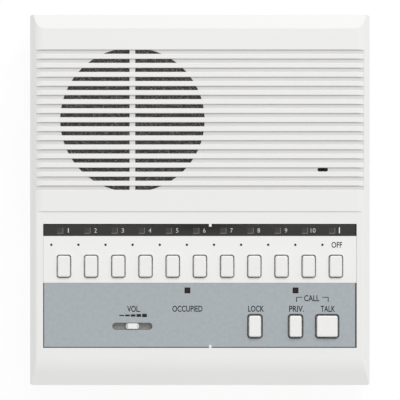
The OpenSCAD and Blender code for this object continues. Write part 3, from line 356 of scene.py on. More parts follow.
def dressed(node, material, edge=0.0, steps=2, reshape=None):
    """Stands for a CAD node with a copy of it: merged, its sharp edges broken by some millimetres, and
    shaded smooth."""
    flat_angle, rounded_angle = 0.5, 35
    sharp_angle = 46 if edge else 11.5
    work = merged_copy(node)
    if reshape:
        reshape(work)
    if edge:
        limit = math.radians(flat_angle)
        bmesh.ops.dissolve_limit(work, angle_limit=limit, verts=work.verts, edges=work.edges)
    piece = piece_of(node + "_finish", work)
    if edge:
        rounding = piece.modifiers.new("edges", "BEVEL")
        rounding.width = edge * MM
        rounding.segments = steps
        rounding.limit_method = "ANGLE"
        rounding.angle_limit = math.radians(rounded_angle)
        plain_mesh(piece)
    shade_by_angle(piece.data, sharp_angle)
    flats = piece.modifiers.new("flats", "WEIGHTED_NORMAL")
    flats.keep_sharp = True
    mesh = plain_mesh(piece)
    mesh.materials.clear()
    mesh.materials.append(material)
    fixed(piece, node, frame["nodes"][node]["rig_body"])


# Painted shade: the face turns greyer where it lies below its own level in the grooved field, so that the groove
# floors look shaded.
groove_shade_group, groove_shade_in, groove_shade_out = new_group(
    "groove_painted_shade", [], ["Floor Level", "Fade", "Half Length", "Top", "Bottom"], [], ["Dust"]
)
shade_math = partial(math_node, groove_shade_group)
shade_x, shade_y, shade_z = parts_of(groove_shade_group, object_place(groove_shade_group))
shade_depth = shade_math("DIVIDE", shade_math("SUBTRACT", shade_z, groove_shade_in["Floor Level"]), groove_shade_in["Fade"])
shade_layer = shade_math("MAXIMUM", shade_math("SUBTRACT", 1.0, shade_depth), 0.0)
for inside in (
    shade_math("LESS_THAN", shade_math("ABSOLUTE", shade_x), groove_shade_in["Half Length"]),
    shade_math("LESS_THAN", shade_y, groove_shade_in["Top"]),
    shade_math("GREATER_THAN", shade_y, groove_shade_in["Bottom"]),
):
    shade_layer = shade_math("MULTIPLY", shade_layer, inside)
give_out(groove_shade_group, groove_shade_out, Dust=shade_math("MINIMUM", shade_layer, 1.0))

case_white = moulded("case_white", (0.80, 0.80, 0.785), cloud=0.02, cloud_size=50, gloss=0.5)
face_white = case_white.copy()
face_white.name = "face_white"
groove_places = {
    "Floor Level": face_level - 1.0 * MM,
    "Fade": 0.4 * MM,
    "Half Length": 101.5 * MM,
    "Top": 93.2 * MM,
    "Bottom": 5.8 * MM,
}
# The grey of the painted shade on the groove floors.
groove_shade_grey = (0.66, 0.655, 0.64)
face_tree = face_white.node_tree
face_colour = face_tree.nodes["Principled BSDF"].inputs["Base Color"]
unshaded_white = face_colour.links[0].from_socket
face_groove_shade = place_group(face_tree, groove_shade_group, groove_places)["Dust"]
feed(face_tree, face_colour, mixed_colour(face_tree, face_groove_shade, unshaded_white, groove_shade_grey))
dressed("front_case", face_white)

# Grille cloth: a coarse dark loudspeaker cloth with pale flecks in its yarn, cut to a disc and
# stretched flat against the back of the slots. The loudspeaker's rim and its gasket press it there.


def geometry_tree(name, **sizes):
    """A geometry tree that takes points and named sizes; returns it with the sockets inside its two ends."""
    tree = bpy.data.node_groups.new(name, "GeometryNodeTree")
    for label, kind in {"Geometry": "Geometry", **sizes, "Finish": "Material"}.items():
        tree.interface.new_socket(label.replace("_", " "), in_out="INPUT", socket_type="NodeSocket" + kind)
    tree.interface.new_socket("Geometry", in_out="OUTPUT", socket_type="NodeSocketGeometry")
    return tree, tree.nodes.new("NodeGroupInput").outputs, tree.nodes.new("NodeGroupOutput").inputs


def close_tree(tree, sizes, out, shape):
    """Ends a geometry tree: instances become mesh and take the piece's finish."""
    real = add_node(tree, "GeometryNodeRealizeInstances", Geometry=shape)
    painted = add_node(tree, "GeometryNodeSetMaterial", Geometry=real, Material=sizes["Finish"])
    give_out(tree, out, Geometry=painted)


def grown(name, tree, points, sizes, material, edges=()):
    """A piece that a geometry tree grows from points, as a plain mesh."""
    seed = bpy.data.meshes.new(name)
    seed.from_pydata(points, edges, [])
    piece = placed(name, seed)
    growth = piece.modifiers.new("growth", "NODES")
    growth.node_group = tree
    inputs = {**sizes, "Finish": material}
    for item in tree.interface.items_tree:
        if item.in_out == "INPUT" and item.name in inputs:
            growth[item.identifier] = inputs[item.name]
    plain_mesh(piece)
    return piece


cloth_tree, cloth_in, cloth_out = geometry_tree(
    "woven_disc", Radius="Float", Yarn_Pitch="Float", Yarn_Height="Float", Middle="Vector"
)
cloth_math = partial(math_node, cloth_tree)
grid_points = 230
cloth_grid = add_node(
    cloth_tree, "GeometryNodeMeshGrid", Size_X=2.0, Size_Y=2.0, Vertices_X=grid_points, Vertices_Y=grid_points
)
grid_x, grid_y, _ = parts_of(cloth_tree, add_node(cloth_tree, "GeometryNodeInputPosition"))


def onto_disc(along, across):
    """One coordinate of a square grid drawn in to a round disc of the cloth's radius."""
    bow = cloth_math("MULTIPLY_ADD", cloth_math("POWER", across, 2.0), -0.5, 1.0)
    drawn = cloth_math("MULTIPLY", along, cloth_math("SQRT", bow))
    return cloth_math("MULTIPLY", drawn, cloth_in["Radius"])


def yarn_wave(along):
    """The rise and fall of the yarn in one direction."""
    turns = cloth_math("DIVIDE", along, cloth_in["Yarn Pitch"])
    return cloth_math("SINE", cloth_math("MULTIPLY", turns, math.pi))


disc_x = onto_disc(grid_x, grid_y)
disc_y = onto_disc(grid_y, grid_x)
weave = cloth_math("MULTIPLY", yarn_wave(disc_x), yarn_wave(disc_y))
disc_z = cloth_math("MULTIPLY", weave, cloth_in["Yarn Height"])
disc_spot = add_node(cloth_tree, "ShaderNodeCombineXYZ", disc_x, disc_y, disc_z)
disc_place = vector_node(cloth_tree, "ADD", disc_spot, cloth_in["Middle"])
cloth_drawn = add_node(cloth_tree, "GeometryNodeSetPosition", Geometry=cloth_grid, Position=disc_place)
close_tree(cloth_tree, cloth_in, cloth_out, cloth_drawn)

weave_group, weave_in, weave_out = new_group("woven_yarn", ["Yarn", "Fleck"], ["Yarn Pitch", "Fleck Size"])
weave_math = partial(math_node, weave_group)
weave_place = object_place(weave_group)
over_under = [
    weave_math("SINE", weave_math("DIVIDE", weave_math("MULTIPLY", along, math.pi), weave_in["Yarn Pitch"]))
    for along in parts_of(weave_group, weave_place)[:2]
]
raised = weave_math("MULTIPLY_ADD", weave_math("MULTIPLY", *over_under), 0.5, 0.5)
fleck_noise = noise_of_size(weave_group, weave_place, weave_in["Fleck Size"], 1)
fleck_height = weave_math("MULTIPLY_ADD", raised, 0.22, fleck_noise)
fleck = smooth_step(weave_group, fleck_height, From_Min=0.6, From_Max=0.82)
give_out(
    weave_group,
    weave_out,
    Colour=mixed_colour(weave_group, fleck, weave_in["Yarn"], weave_in["Fleck"]),
    Roughness=weave_math("MULTIPLY_ADD", fleck_noise, 0.2, 0.75),
    Height=raised,
)

cloth_low, cloth_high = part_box("grille_cloth")
cloth_radius = (cloth_high.x - cloth_low.x) / 2
yarn_pitch = 0.95 * MM
weave_values = {
    "Yarn": (0.063, 0.058, 0.054),
    "Fleck": (0.27, 0.26, 0.25),
    "Yarn Pitch": yarn_pitch,
    "Fleck Size": 1.0 * MM,
}
cloth_finish = new_finish("grille_weave", weave_group, weave_values, 0.15, "grille_cloth", Sheen_Weight=0.15)
cloth_sizes = {
    "Radius": cloth_radius,
    "Yarn Pitch": yarn_pitch,
    "Yarn Height": 0.03 * MM,
    "Middle": (cloth_low + cloth_high) / 2,
}
cloth = grown("grille_cloth_sheet", cloth_tree, [], cloth_sizes, cloth_finish)
fixed(cloth, "grille_cloth")

# Plates: a smoked strip over the station lamps, a white plate around the station keys and a grey plate around the
# function keys. All three are printed plastic sheet, laid in the recess and held by two small tabs of the case. A
# thin black strip under their edges is painted shade in the gap around them.
strip_smoke = moulded(
    "strip_smoke", (0.011, 0.010, 0.009), cloud=0.5, cloud_size=25, gloss=0.06, bump=0.0003, slot="smoked_strip"
)
plate_white = moulded("plate_white", (0.82, 0.82, 0.81), cloud=0.015, gloss=0.42, bump=0.01)
plate_grey = moulded("plate_grey", (0.365, 0.40, 0.42), cloud=0.22, cloud_size=2.5, gloss=0.48, bump=0.01)
dressed("indicator_window", strip_smoke, 0.12)
dressed("name_plate", plate_white, 0.1)
dressed("control_plate", plate_grey, 0.1)


def add_bar(work, low, high):
    """Adds a bar between two corners to a working mesh."""
    middle, size = (Vector(low) + Vector(high)) / 2, Vector(high) - Vector(low)
    bar = bmesh.ops.create_cube(work, size=1)["verts"]
    bmesh.ops.transform(work, matrix=Matrix.Translation(middle) @ Matrix.Diagonal((*size, 1)), verts=bar)


def worked(name, work, material):
    """A piece of the station from a working mesh: doubles merged, faces outward."""
    bmesh.ops.remove_doubles(work, verts=work.verts, dist=0.0005 * MM)
    bmesh.ops.recalc_face_normals(work, faces=work.faces)
    piece = piece_of(name, work)
    piece.data.materials.append(material)
    fixed(piece)


# Painted shade: a black strip under the edges of the smoked strip and the grey plate darkens the gap around them.
gap_shade_black = moulded(
    "gap_shade_black", (0.012, 0.012, 0.012), cloud=0.4, cloud_size=2, gloss=0.7, slot="black_plastic"
)
gap_shade_edge = 0.52 * MM
gap_shade_lift = 0.01 * MM
gap_shade_depth = 0.12 * MM
gap_shade = bmesh.new()
for plate, upper_end in (("indicator_window", True), ("control_plate", False)):
    low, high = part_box(plate)
    floor = low.z + gap_shade_lift
    ceiling = floor + gap_shade_depth
    left, right = low.x - gap_shade_edge, high.x + gap_shade_edge
    near, far = (high.y, high.y + gap_shade_edge) if upper_end else (low.y - gap_shade_edge, low.y)
    add_bar(gap_shade, (left, low.y, floor), (low.x, high.y, ceiling))
    add_bar(gap_shade, (high.x, low.y, floor), (right, high.y, ceiling))
    add_bar(gap_shade, (left, near, floor), (right, far, ceiling))
worked("plate_gap_shade", gap_shade, gap_shade_black)

# Lettering: numbers, words and marks screen-printed on the plates, pale on the strip and dark grey on the plates.
# Each print is a thin layer of ink on the sheet. The same black is painted shade round and inside the function
# keys' holes, inside the volume slot and at the plates' right ends, and a lighter grey is a painted highlight at
# the lamp windows' edges.
plate_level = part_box("control_plate")[1].z
ink_thickness = 0.03 * MM


def corners_of(places):
    """The low and high corner of a box around some places."""
    return tuple(Vector([pick(place[i] for place in places) for i in range(3)]) for pick in (min, max))


def print_words(work, words, middle, size, bolder=0.016):
    """Adds words as a thin mesh around middle, fitted to a width and a height in millimetres."""
    curve = bpy.data.curves.new("words", "FONT")
    curve.body = words
    curve.extrude = 0.1
    curve.offset = bolder
    curve.resolution_u = 4
    holder = placed("words", curve)
    mesh = bpy.data.meshes.new_from_object(holder.evaluated_get(bpy.context.evaluated_depsgraph_get()))
    low, high = corners_of([v.co for v in mesh.vertices])
    fit = [size[0] * MM / (high.x - low.x), size[1] * MM / (high.y - low.y), ink_thickness / (high.z - low.z)]
    seat = Vector((middle[0] * MM, middle[1] * MM, plate_level + ink_thickness / 2))
    mesh.transform(Matrix.Translation(seat) @ Matrix.Diagonal((*fit, 1)) @ Matrix.Translation(-(low + high) / 2))
    work.from_mesh(mesh)
    bpy.data.objects.remove(holder)
    bpy.data.meshes.remove(mesh)
    bpy.data.curves.remove(curve)


def print_bar(work, middle, size):
    """Adds a printed bar around middle, both in millimetres."""
    low = [(m - s / 2) * MM for m, s in zip(middle, size)]
    high = [(m + s / 2) * MM for m, s in zip(middle, size)]
    add_bar(work, (*low, plate_level), (*high, plate_level + ink_thickness))


def print_ring(work, middle, size, radius, width, depth=0.0, level=plate_level):
    """Adds a line around an opening with round corners, down to a depth in it, all in millimetres."""
    corner_steps = 8
    rings = []
    foot = level - depth * MM
    top = level + ink_thickness
    for grow, height in ((0, foot), (width, foot), (width, top), (0, top)):
        ring = []
        reach = radius + grow
        for quarter, sides in enumerate(((1, 1), (-1, 1), (-1, -1), (1, -1))):
            x, y = (m + side * (s / 2 - radius) for m, s, side in zip(middle, size, sides))
            for step in range(corner_steps + 1):
                turn = (quarter + step / corner_steps) * math.pi / 2
                spot = ((x + reach * math.cos(turn)) * MM, (y + reach * math.sin(turn)) * MM, height)
                ring.append(work.verts.new(spot))
        rings.append(ring)
    for here, there in zip(rings, rings[1:] + rings[:1]):
        for i in range(len(here)):
            work.faces.new((here[i - 1], here[i], there[i], there[i - 1]))


def ink(name, colour, slot, cloud, gloss, cloud_size=1, **constants):
    """A finish of printed ink, or of painted shade or highlight, nearly without relief."""
    return moulded(name, colour, cloud, cloud_size, gloss=gloss, bump=0.003, slot=slot, **constants)


ink_pale = ink("ink_pale", (0.58, 0.58, 0.56), "plate_white", 0.2, 0.6)
ink_white = ink("ink_white", (0.8, 0.8, 0.79), "plate_white", 0.1, 0.6)
# Near black, for the print and for the painted shade in the holes and at the plates' ends.
ink_and_shade_dark = ink("ink_and_shade_dark", (0.012, 0.013, 0.014), "black_plastic", 0.3, 0.55, Specular_IOR_Level=0.2)
# A lighter grey for the painted highlight at the lamp windows' edges.
lamp_highlight_ink = ink("lamp_highlight_ink", (0.15, 0.145, 0.135), "smoked_strip", 0.4, 0.4)
lamp_tint = ink("lamp_tint", (0.027, 0.022, 0.020), "lamp_window", 0.5, 0.3, cloud_size=1.5)

key_pitch = 16.8
key_places = [(i - 5) * key_pitch for i in range(11)]
number_x = 2.75
number_y = -18.85
number_height = 2.7
number_width = 1.5
odd_widths = {1: 0.6, 10: 3.0}
numerals = bmesh.new()
for number, x in enumerate(key_places[:10], start=1):
    size = (odd_widths.get(number, number_width), number_height)
    print_words(numerals, str(number), (x + number_x, number_y), size, bolder=-0.003)
worked("strip_numerals", numerals, ink_pale)

off_mark_place = (key_places[10] + 2.2, number_y + 0.1)
off_mark_size = (0.6, 3.7)
off_mark = bmesh.new()
print_bar(off_mark, off_mark_place, off_mark_size)
worked("off_mark", off_mark, ink_white)

# Painted highlight: a lighter bar along the foot and the right side of each lamp window stands for the light at
# its edges.
tile_x, tile_y, tile_size = -2.55, -18.75, (3.3, 3.1)
foot_y, foot_size = -20.6, (3.3, 0.45)
side_x, side_y, side_size = -0.62, -19.0, (0.4, 3.65)
lamp_tiles = bmesh.new()
lamp_highlights = bmesh.new()
for x in key_places:
    print_bar(lamp_tiles, (x + tile_x, tile_y), tile_size)
    print_bar(lamp_highlights, (x + tile_x, foot_y), foot_size)
    print_bar(lamp_highlights, (x + side_x, side_y), side_size)
worked("strip_lamp_tiles", lamp_tiles, lamp_tint)
worked("strip_lamp_highlights", lamp_highlights, lamp_highlight_ink)

off_word = bmesh.new()
print_words(off_word, "OFF", (84.6, -27.75), (6.6, 3.6))
worked("off_word", off_word, ink_and_shade_dark)

letter_height = 3.8
word_places = {
    "VOL.": (-40.9, -67.3, 8.1),
    "OCCUPIED": (-7.7, -67.2, 18.6),
    "LOCK": (34.7, -67.2, 9.8),
    "PRIV.": (59.7, -67.3, 9.1),
    "TALK": (79.1, -67.3, 8.9),
    "CALL": (69.1, -60.7, 9.4),
}
control_words = bmesh.new()
for words, (x, y, width) in word_places.items():
    print_words(control_words, words, (x, y), (width, letter_height))
bracket_leg_y, bracket_leg = -61.5, (0.5, 3.0)
bracket_arm_y, bracket_arm = -60.1, (3.7, 0.45)
for side, x in ((1, 59.7), (-1, 79.25)):
    print_bar(control_words, (x, bracket_leg_y), bracket_leg)
    print_bar(control_words, (x + side * bracket_arm[0] / 2, bracket_arm_y), bracket_arm)
mark_x, mark_y, mark_pitch = -48.3, -71.35, 3.52
mark_width = 2.9
for step in range(5):
    mark_height = 0.72 + 0.34 * step
    print_bar(control_words, (mark_x + mark_pitch * step, mark_y), (mark_width, mark_height))
worked("control_words", control_words, ink_and_shade_dark)

function_y = -78
function_holes = ((34.0, 8.9), (59.1, 8.9), (78.6, 14.3))
hole_height = 14.5
hole_radius = 1.8
volume_x, volume_slot = -41.7, (24.7, 4.2)
line_gap = 0.1
line_width = 0.3
lining_gap = 0.11
lining_width = 0.09
lining_depth = 1.1
# Painted shade: a dark ring on the plate round each function key's hole, and a dark lining down the walls of
# these holes and of the volume slot, make the gaps look shaded.
hole_shade_lines = bmesh.new()
for x, width in function_holes:
    around = [side + 2 * line_gap for side in (width, hole_height)]
    inside = [side - 2 * lining_gap for side in (width, hole_height)]
    print_ring(hole_shade_lines, (x, function_y), around, hole_radius + line_gap, line_width)
    print_ring(hole_shade_lines, (x, function_y), inside, hole_radius - line_gap, lining_width, lining_depth)
inside = [side - 2 * lining_gap for side in volume_slot]
print_ring(hole_shade_lines, (volume_x, function_y), inside, inside[1] / 2, lining_width, lining_depth)
worked("hole_shade_lines", hole_shade_lines, ink_and_shade_dark)

# Painted shadow: a dark line along the right end of the strip and of the grey plate stands for the shadow in the
# gap there.
end_shade_lines = bmesh.new()
for plate in ("indicator_window", "control_plate"):
    low, high = (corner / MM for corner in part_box(plate))
    line_x = high.x - line_gap - line_width / 2
    print_bar(end_shade_lines, (line_x, (low.y + high.y) / 2), (line_width, high.y - low.y))
worked("end_shade_lines", end_shade_lines, ink_and_shade_dark)


def on_points(tree, points, shape):
    """One instance of a shape on each point."""
    return add_node(tree, "GeometryNodeInstanceOnPoints", Points=points, Instance=shape)


def round_blank(tree, vertices, diameter, depth, rings=1):
    """A round bar of a diameter and a depth, along Z around its middle."""
    sockets = {"Vertices": vertices, "Side Segments": rings, "Depth": depth}
    radius = math_node(tree, "MULTIPLY", diameter, 0.5)
    return add_node(tree, "GeometryNodeMeshCylinder", Radius=radius, **sockets)


dot_tree, dot_in, dot_out = geometry_tree("printed_dots", Diameter="Float", Thickness="Float")
dot_disc = round_blank(dot_tree, 20, dot_in["Diameter"], dot_in["Thickness"])
close_tree(dot_tree, dot_in, dot_out, on_points(dot_tree, dot_in["Geometry"], dot_disc))
dot_level = plate_level + ink_thickness / 2
dot_pitch = 16.75
last_dot_x, dot_y = 75.7, -27.7
dot_places = [
    ((last_dot_x - dot_pitch * count) * MM, dot_y * MM, dot_level) for count in range(len(key_places))
]
dot_sizes = {"Diameter": 1.5 * MM, "Thickness": ink_thickness}
fixed(grown("name_dots", dot_tree, dot_places, dot_sizes, ink_and_shade_dark))

# Station and function keys: fourteen hollow white caps on flanged stems, moulded in the case's
# own plastic but smoother. Springs push their flanges up against the case from below.
station_keys = [f"key_{i}" for i in range(1, 11)] + ["key_off"]
function_keys = ["lock_key", "privacy_key", "talk_key"]
key_white = moulded("key_white", (0.815, 0.81, 0.795), cloud=0.02, cloud_size=4, gloss=0.36, bump=0.006)
for node in station_keys + function_keys:
    dressed(node, key_white)

# Volume control: a white knob with sloped ends on the flat lever of a slide potentiometer. A grey
# fibre strip rides on the lever behind the slot and keeps it closed, and the folded metal body is
# soldered to a small board of its own.
slot_grey = moulded("slot_grey", (0.30, 0.295, 0.29), cloud=0.15, cloud_size=3, gloss=0.6)
black_plastic = moulded("black_plastic", (0.022, 0.022, 0.023), cloud=0.3, cloud_size=4, gloss=0.42)


def steepen_ends(work):
    """Lowers the ends of the knob's top, so that they fall away steeply from its flat middle."""
    low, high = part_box("volume_knob")
    middle = (low + high) / 2
    flat_half = 2.6 * MM
    end_drop = 1.4 * MM
    slope_length = high.x - middle.x - flat_half
    for vert in work.verts:
        past_flat = abs(vert.co.x - middle.x) - flat_half
        if past_flat > 0 and vert.co.z > middle.z:
            vert.co.z -= end_drop * past_flat / slope_length


dressed("volume_knob", key_white, 0.25, 3, steepen_ends)
dressed("volume_shield", slot_grey)
dressed("volume_lever", black_plastic, 0.1)

metal_group, metal_in, metal_out = new_group("rolled_metal", ["Colour"], ["Streak", "Streak Size", "Gloss"])
along_sheet = add_node(metal_group, "ShaderNodeMapping", Vector=object_place(metal_group), Scale=(0.05, 1.0, 1.0))
metal_streaks = noise_of_size(metal_group, along_sheet, metal_in["Streak Size"], 4, 0.65)
give_out(
    metal_group,
    metal_out,
    Colour=shaded_colour(metal_group, metal_in["Colour"], metal_streaks, metal_in["Streak"]),
    Roughness=math_node(metal_group, "ADD", metal_in["Gloss"], swing_around(metal_group, metal_streaks, 0.3)),
    Height=metal_streaks,
)


def metal(name, colour, streak=0.25, streak_size=0.6, gloss=0.35, bump=0.004):
    """A finish of drawn or rolled metal, with its sizes in millimetres."""
    values = {"Colour": colour, "Streak": streak, "Streak Size": streak_size * MM, "Gloss": gloss}
    return new_finish(name, metal_group, values, bump, Metallic=1.0)


sheet_steel = metal("sheet_steel", (0.60, 0.60, 0.59))
dressed("volume_pot", sheet_steel, 0.3)

# Key bank: a folded zinc-plated channel over the station keys and a shorter one over the function
# keys, black switch bodies under them, and a flat latch bar that slides between. Each key stands
# on a coil spring of bright wire, and one more coil pushes the latch bar home.
dressed("key_bank_frame", sheet_steel, 0.15)
dressed("function_frame", sheet_steel, 0.15)
dressed("latch_bar", sheet_steel, 0.08)
dressed("key_switches", black_plastic, 0.3)


def round_tube(tree, path, diameter):
    """A round wire of a diameter along a path."""
    radius = math_node(tree, "MULTIPLY", diameter, 0.5)
    section = add_node(tree, "GeometryNodeCurvePrimitiveCircle", Resolution=10, Radius=radius)
    return add_node(tree, "GeometryNodeCurveToMesh", Curve=path, Profile_Curve=section, Fill_Caps=True)


coil_tree, coil_in, coil_out = geometry_tree(
    "wire_coil", Radius="Float", Wire="Float", Length="Float", Turns="Float"
)
coil_path = add_node(
    coil_tree,
    "GeometryNodeCurveSpiral",
    Resolution=20,
    Rotations=coil_in["Turns"],
    Start_Radius=coil_in["Radius"],
    End_Radius=coil_in["Radius"],
    Height=coil_in["Length"],
)
coil_wire = round_tube(coil_tree, coil_path, coil_in["Wire"])
close_tree(coil_tree, coil_in, coil_out, on_points(coil_tree, coil_in["Geometry"], coil_wire))


def coil_spring(name, node, radius, wire, length, turns, place):
    """One coil of wire; place turns it from +Z and sets it on its seat."""
    sizes = {"Radius": radius - wire / 2, "Wire": wire, "Length": length - wire, "Turns": turns}
    piece = grown(name, coil_tree, [(0, 0, wire / 2)], sizes, spring_steel)
    piece.data.transform(place)
    piece.data.shade_smooth()
    fixed(piece, node)
    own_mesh(piece)


spring_steel = metal("spring_steel", (0.55, 0.55, 0.56), gloss=0.25)
spring_low, spring_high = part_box("key_springs")
spring_length = spring_high.z - spring_low.z
spring_radius = 3.5 * MM
spring_wire = 0.7 * MM
spring_turns = 6.0
for node in station_keys + function_keys:
    low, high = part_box(node)
    seat = Vector(((low.x + high.x) / 2, (low.y + high.y) / 2, spring_low.z))
    coil_spring(
        node + "_spring",
        "key_springs",
        spring_radius,
        spring_wire,
        spring_length,
        spring_turns,
        Matrix.Translation(seat),
    )
latch_low, latch_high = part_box("latch_spring")
latch_middle = (latch_low + latch_high) / 2
latch_seat = Vector((latch_low.x, latch_middle.y, latch_middle.z))
latch_wire = 0.5 * MM
latch_turns = 3.5
coil_spring(
    "latch_coil",
    "latch_spring",
    (latch_high.y - latch_low.y) / 2,
    latch_wire,
    latch_high.x - latch_low.x,
    latch_turns,
    Matrix.Translation(latch_seat) @ Matrix.Rotation(math.pi / 2, 4, "Y"),
)

# Lamps: red lamp bodies stand on the lamp board behind the smoked strip, and two round lamps on
# the key board shine into square guides of dark red acrylic, whose ends lie flush in the plate.
lamp_red = moulded(
    "lamp_red", (0.33, 0.02, 0.015), cloud=0.2, cloud_size=2, gloss=0.18, Transmission_Weight=0.25
)
dressed("station_lamps", lamp_red, 0.25)
dressed("panel_leds", lamp_red)

guide_group, guide_in, guide_out = new_group("lamp_in_guide", ["Edge", "Lit Middle"], ["Spot", "Gloss"])
guide_place = object_place(guide_group)
guide_flat = vector_node(guide_group, "MULTIPLY", guide_place, (1, 1, 0))
guide_low, guide_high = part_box("light_pipes")
guide_half = (guide_high.y - guide_low.y) / 2
guide_y = guide_low.y + guide_half
guide_reach = [
    vector_node(guide_group, "DISTANCE", guide_flat, (x, guide_y, 0), output="Value")
    for x in (guide_low.x + guide_half, guide_high.x - guide_half)
]
guide_near = math_node(guide_group, "MINIMUM", *guide_reach)
guide_spot = smooth_step(guide_group, guide_near, From_Max=guide_in["Spot"], To_Min=1.0, To_Max=0.0)
guide_haze = noise_of_size(guide_group, guide_place, 0.8 * MM, 2)
give_out(
    guide_group,
    guide_out,
    Colour=mixed_colour(guide_group, guide_spot, guide_in["Edge"], guide_in["Lit Middle"]),
    Roughness=math_node(guide_group, "ADD", guide_in["Gloss"], swing_around(guide_group, guide_haze, 0.1)),
    Height=guide_haze,
)
guide_values = {
    "Edge": (0.004, 0.003, 0.003),
    "Lit Middle": (0.035, 0.014, 0.017),
    "Spot": 1.4 * MM,
    "Gloss": 0.3,
}
lamp_window = new_finish("lamp_window", guide_group, guide_values, 0.003, Specular_IOR_Level=0.25)
dressed("light_pipes", lamp_window, 0.1)

# Loudspeaker: a pressed steel basket with a black paper cone, its rolled edge and dust cap, a
# ferrite ring between two steel plates, and a foam gasket on the rim. Four screws clamp it to the
# back of the front case.
cone_paper = moulded(
    "cone_paper", (0.028, 0.027, 0.026), cloud=0.5, cloud_size=3, grain_size=0.6, gloss=0.85, bump=0.08
)
ferrite = moulded(
    "ferrite", (0.055, 0.055, 0.06), cloud=0.4, cloud_size=2, grain_size=0.3, gloss=0.6, bump=0.04
)
gasket_foam = moulded(
    "gasket_foam", (0.02, 0.02, 0.02), cloud=0.5, cloud_size=1, grain_size=0.5, gloss=0.9, bump=0.1,
    slot="rubber_black",
)
dressed("speaker_basket", sheet_steel)
dressed("speaker_cone", cone_paper)
dressed("dust_cap", cone_paper)
dressed("pole_plate", sheet_steel, 0.2)
dressed("speaker_magnet", ferrite, 0.3)
dressed("speaker_yoke", sheet_steel, 0.2)
dressed("speaker_gasket", gasket_foam, 0.25)

# Microphone: an electret capsule in a drawn aluminium can, pushed into a rubber boot behind the
# slot in the fourteenth groove. The boot's thin lip lines the slot, and black felt covers the
# capsule's port in the boot's hole.
bare_aluminium = metal("bare_aluminium", (0.72, 0.73, 0.74), streak=0.15)
rubber_black = moulded(
    "rubber_black", (0.022, 0.022, 0.022), cloud=0.4, cloud_size=2, grain_size=0.3, gloss=0.75, bump=0.03
)
felt_black = moulded(
    "felt_black", (0.012, 0.012, 0.012), cloud=0.5, cloud_size=0.5, grain_size=0.2, gloss=0.9, bump=0.05,
    slot="rubber_black",
)
dressed("mic_capsule", bare_aluminium, 0.3)
dressed("mic_boot", rubber_black, 0.3)
felt_thickness = 0.3 * MM
capsule_low, capsule_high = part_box("mic_capsule")
felt_place = (capsule_low + capsule_high) / 2
felt_place.z = capsule_high.z + felt_thickness / 2
felt_sizes = {"Diameter": 2.1 * MM, "Thickness": felt_thickness}
fixed(grown("mic_felt", dot_tree, [felt_place], felt_sizes, felt_black))

lip_size = (6.28, 1.98)
lip_width = 0.1
lip_level = face_level - 1.15 * MM
lip_depth = (lip_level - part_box("mic_boot")[1].z) / MM
mic_lip = bmesh.new()
print_ring(mic_lip, felt_place.xy / MM, lip_size, lip_size[1] / 2, lip_width, lip_depth, lip_level)
worked("mic_lip", mic_lip, rubber_black)

# Boards: two brown paper-phenolic boards for the keys and the lamps, a small one for the volume
# control and a green lacquered one for the amplifier. Tinned traces run over them, and screws
# hold them on posts of the case and the cover.
board_group, board_in, board_out = new_group("printed_board", ["Laminate", "Trace"], ["Pitch", "Gloss"])
board_place = object_place(board_group)
traces = add_node(
    board_group,
    "ShaderNodeTexBrick",
    output="Fac",
    settings={"offset": 0.37, "squash": 0.6, "squash_frequency": 3},
    Vector=board_place,
    Scale=math_node(board_group, "DIVIDE", 1.0, board_in["Pitch"]),
    Mortar_Size=0.09,
    Mortar_Smooth=0.1,
    Brick_Width=3.0,
    Row_Height=0.5,
)
board_clouds = noise_of_size(board_group, board_place, 4 * MM, 4, 0.6)
clouded_laminate = shaded_colour(board_group, board_in["Laminate"], board_clouds, 0.35)
give_out(
    board_group,
    board_out,
    Colour=mixed_colour(board_group, traces, clouded_laminate, board_in["Trace"]),
    Roughness=math_node(board_group, "ADD", board_in["Gloss"], swing_around(board_group, board_clouds, 0.2)),
    Height=traces,
)


def board(name, laminate, trace, gloss):
    """A finish of printed board, with its traces on the usual grid of two tenths of an inch."""
    values = {"Laminate": laminate, "Trace": trace, "Pitch": 5.08 * MM, "Gloss": gloss}
    return new_finish(name, board_group, values, 0.03)


board_tan = board("board_tan", (0.42, 0.27, 0.11), (0.48, 0.40, 0.28), 0.5)
board_green = board("board_green", (0.035, 0.13, 0.05), (0.07, 0.22, 0.09), 0.3)
for node in ("key_board", "lamp_board", "volume_board"):
    dressed(node, board_tan, 0.08)
dressed("amp_board", board_green, 0.08)

# Amplifier: five electrolytic cans in shrunk blue sleeves, a power chip on an extruded heat sink,
# a mains-frequency transformer of stacked laminations with a taped winding, and two nylon
# connectors. All are soldered to the green board or the key board.
can_sleeve = moulded(
    "capacitor_sleeve", (0.025, 0.05, 0.18), cloud=0.25, cloud_size=4, gloss=0.2, bump=0.004
)
connector_ivory = moulded("connector_ivory", (0.72, 0.68, 0.55), cloud=0.08, cloud_size=4)
coil_wrap = moulded(
    "coil_wrap", (0.50, 0.34, 0.09), cloud=0.35, cloud_size=6, grain_size=0.8, gloss=0.4, bump=0.06
)
lamination = metal("lamination_steel", (0.26, 0.26, 0.27), streak=0.7, streak_size=1.1, gloss=0.5, bump=0.05)
dressed("capacitors", can_sleeve, 0.7, 3)
dressed("amplifier_chip", black_plastic, 0.12)
dressed("heat_sink", bare_aluminium, 0.15)
dressed("transformer_core", lamination, 0.2)
dressed("transformer_coil", coil_wrap, 0.8, 3)
dressed("board_connectors", connector_ivory, 0.3)

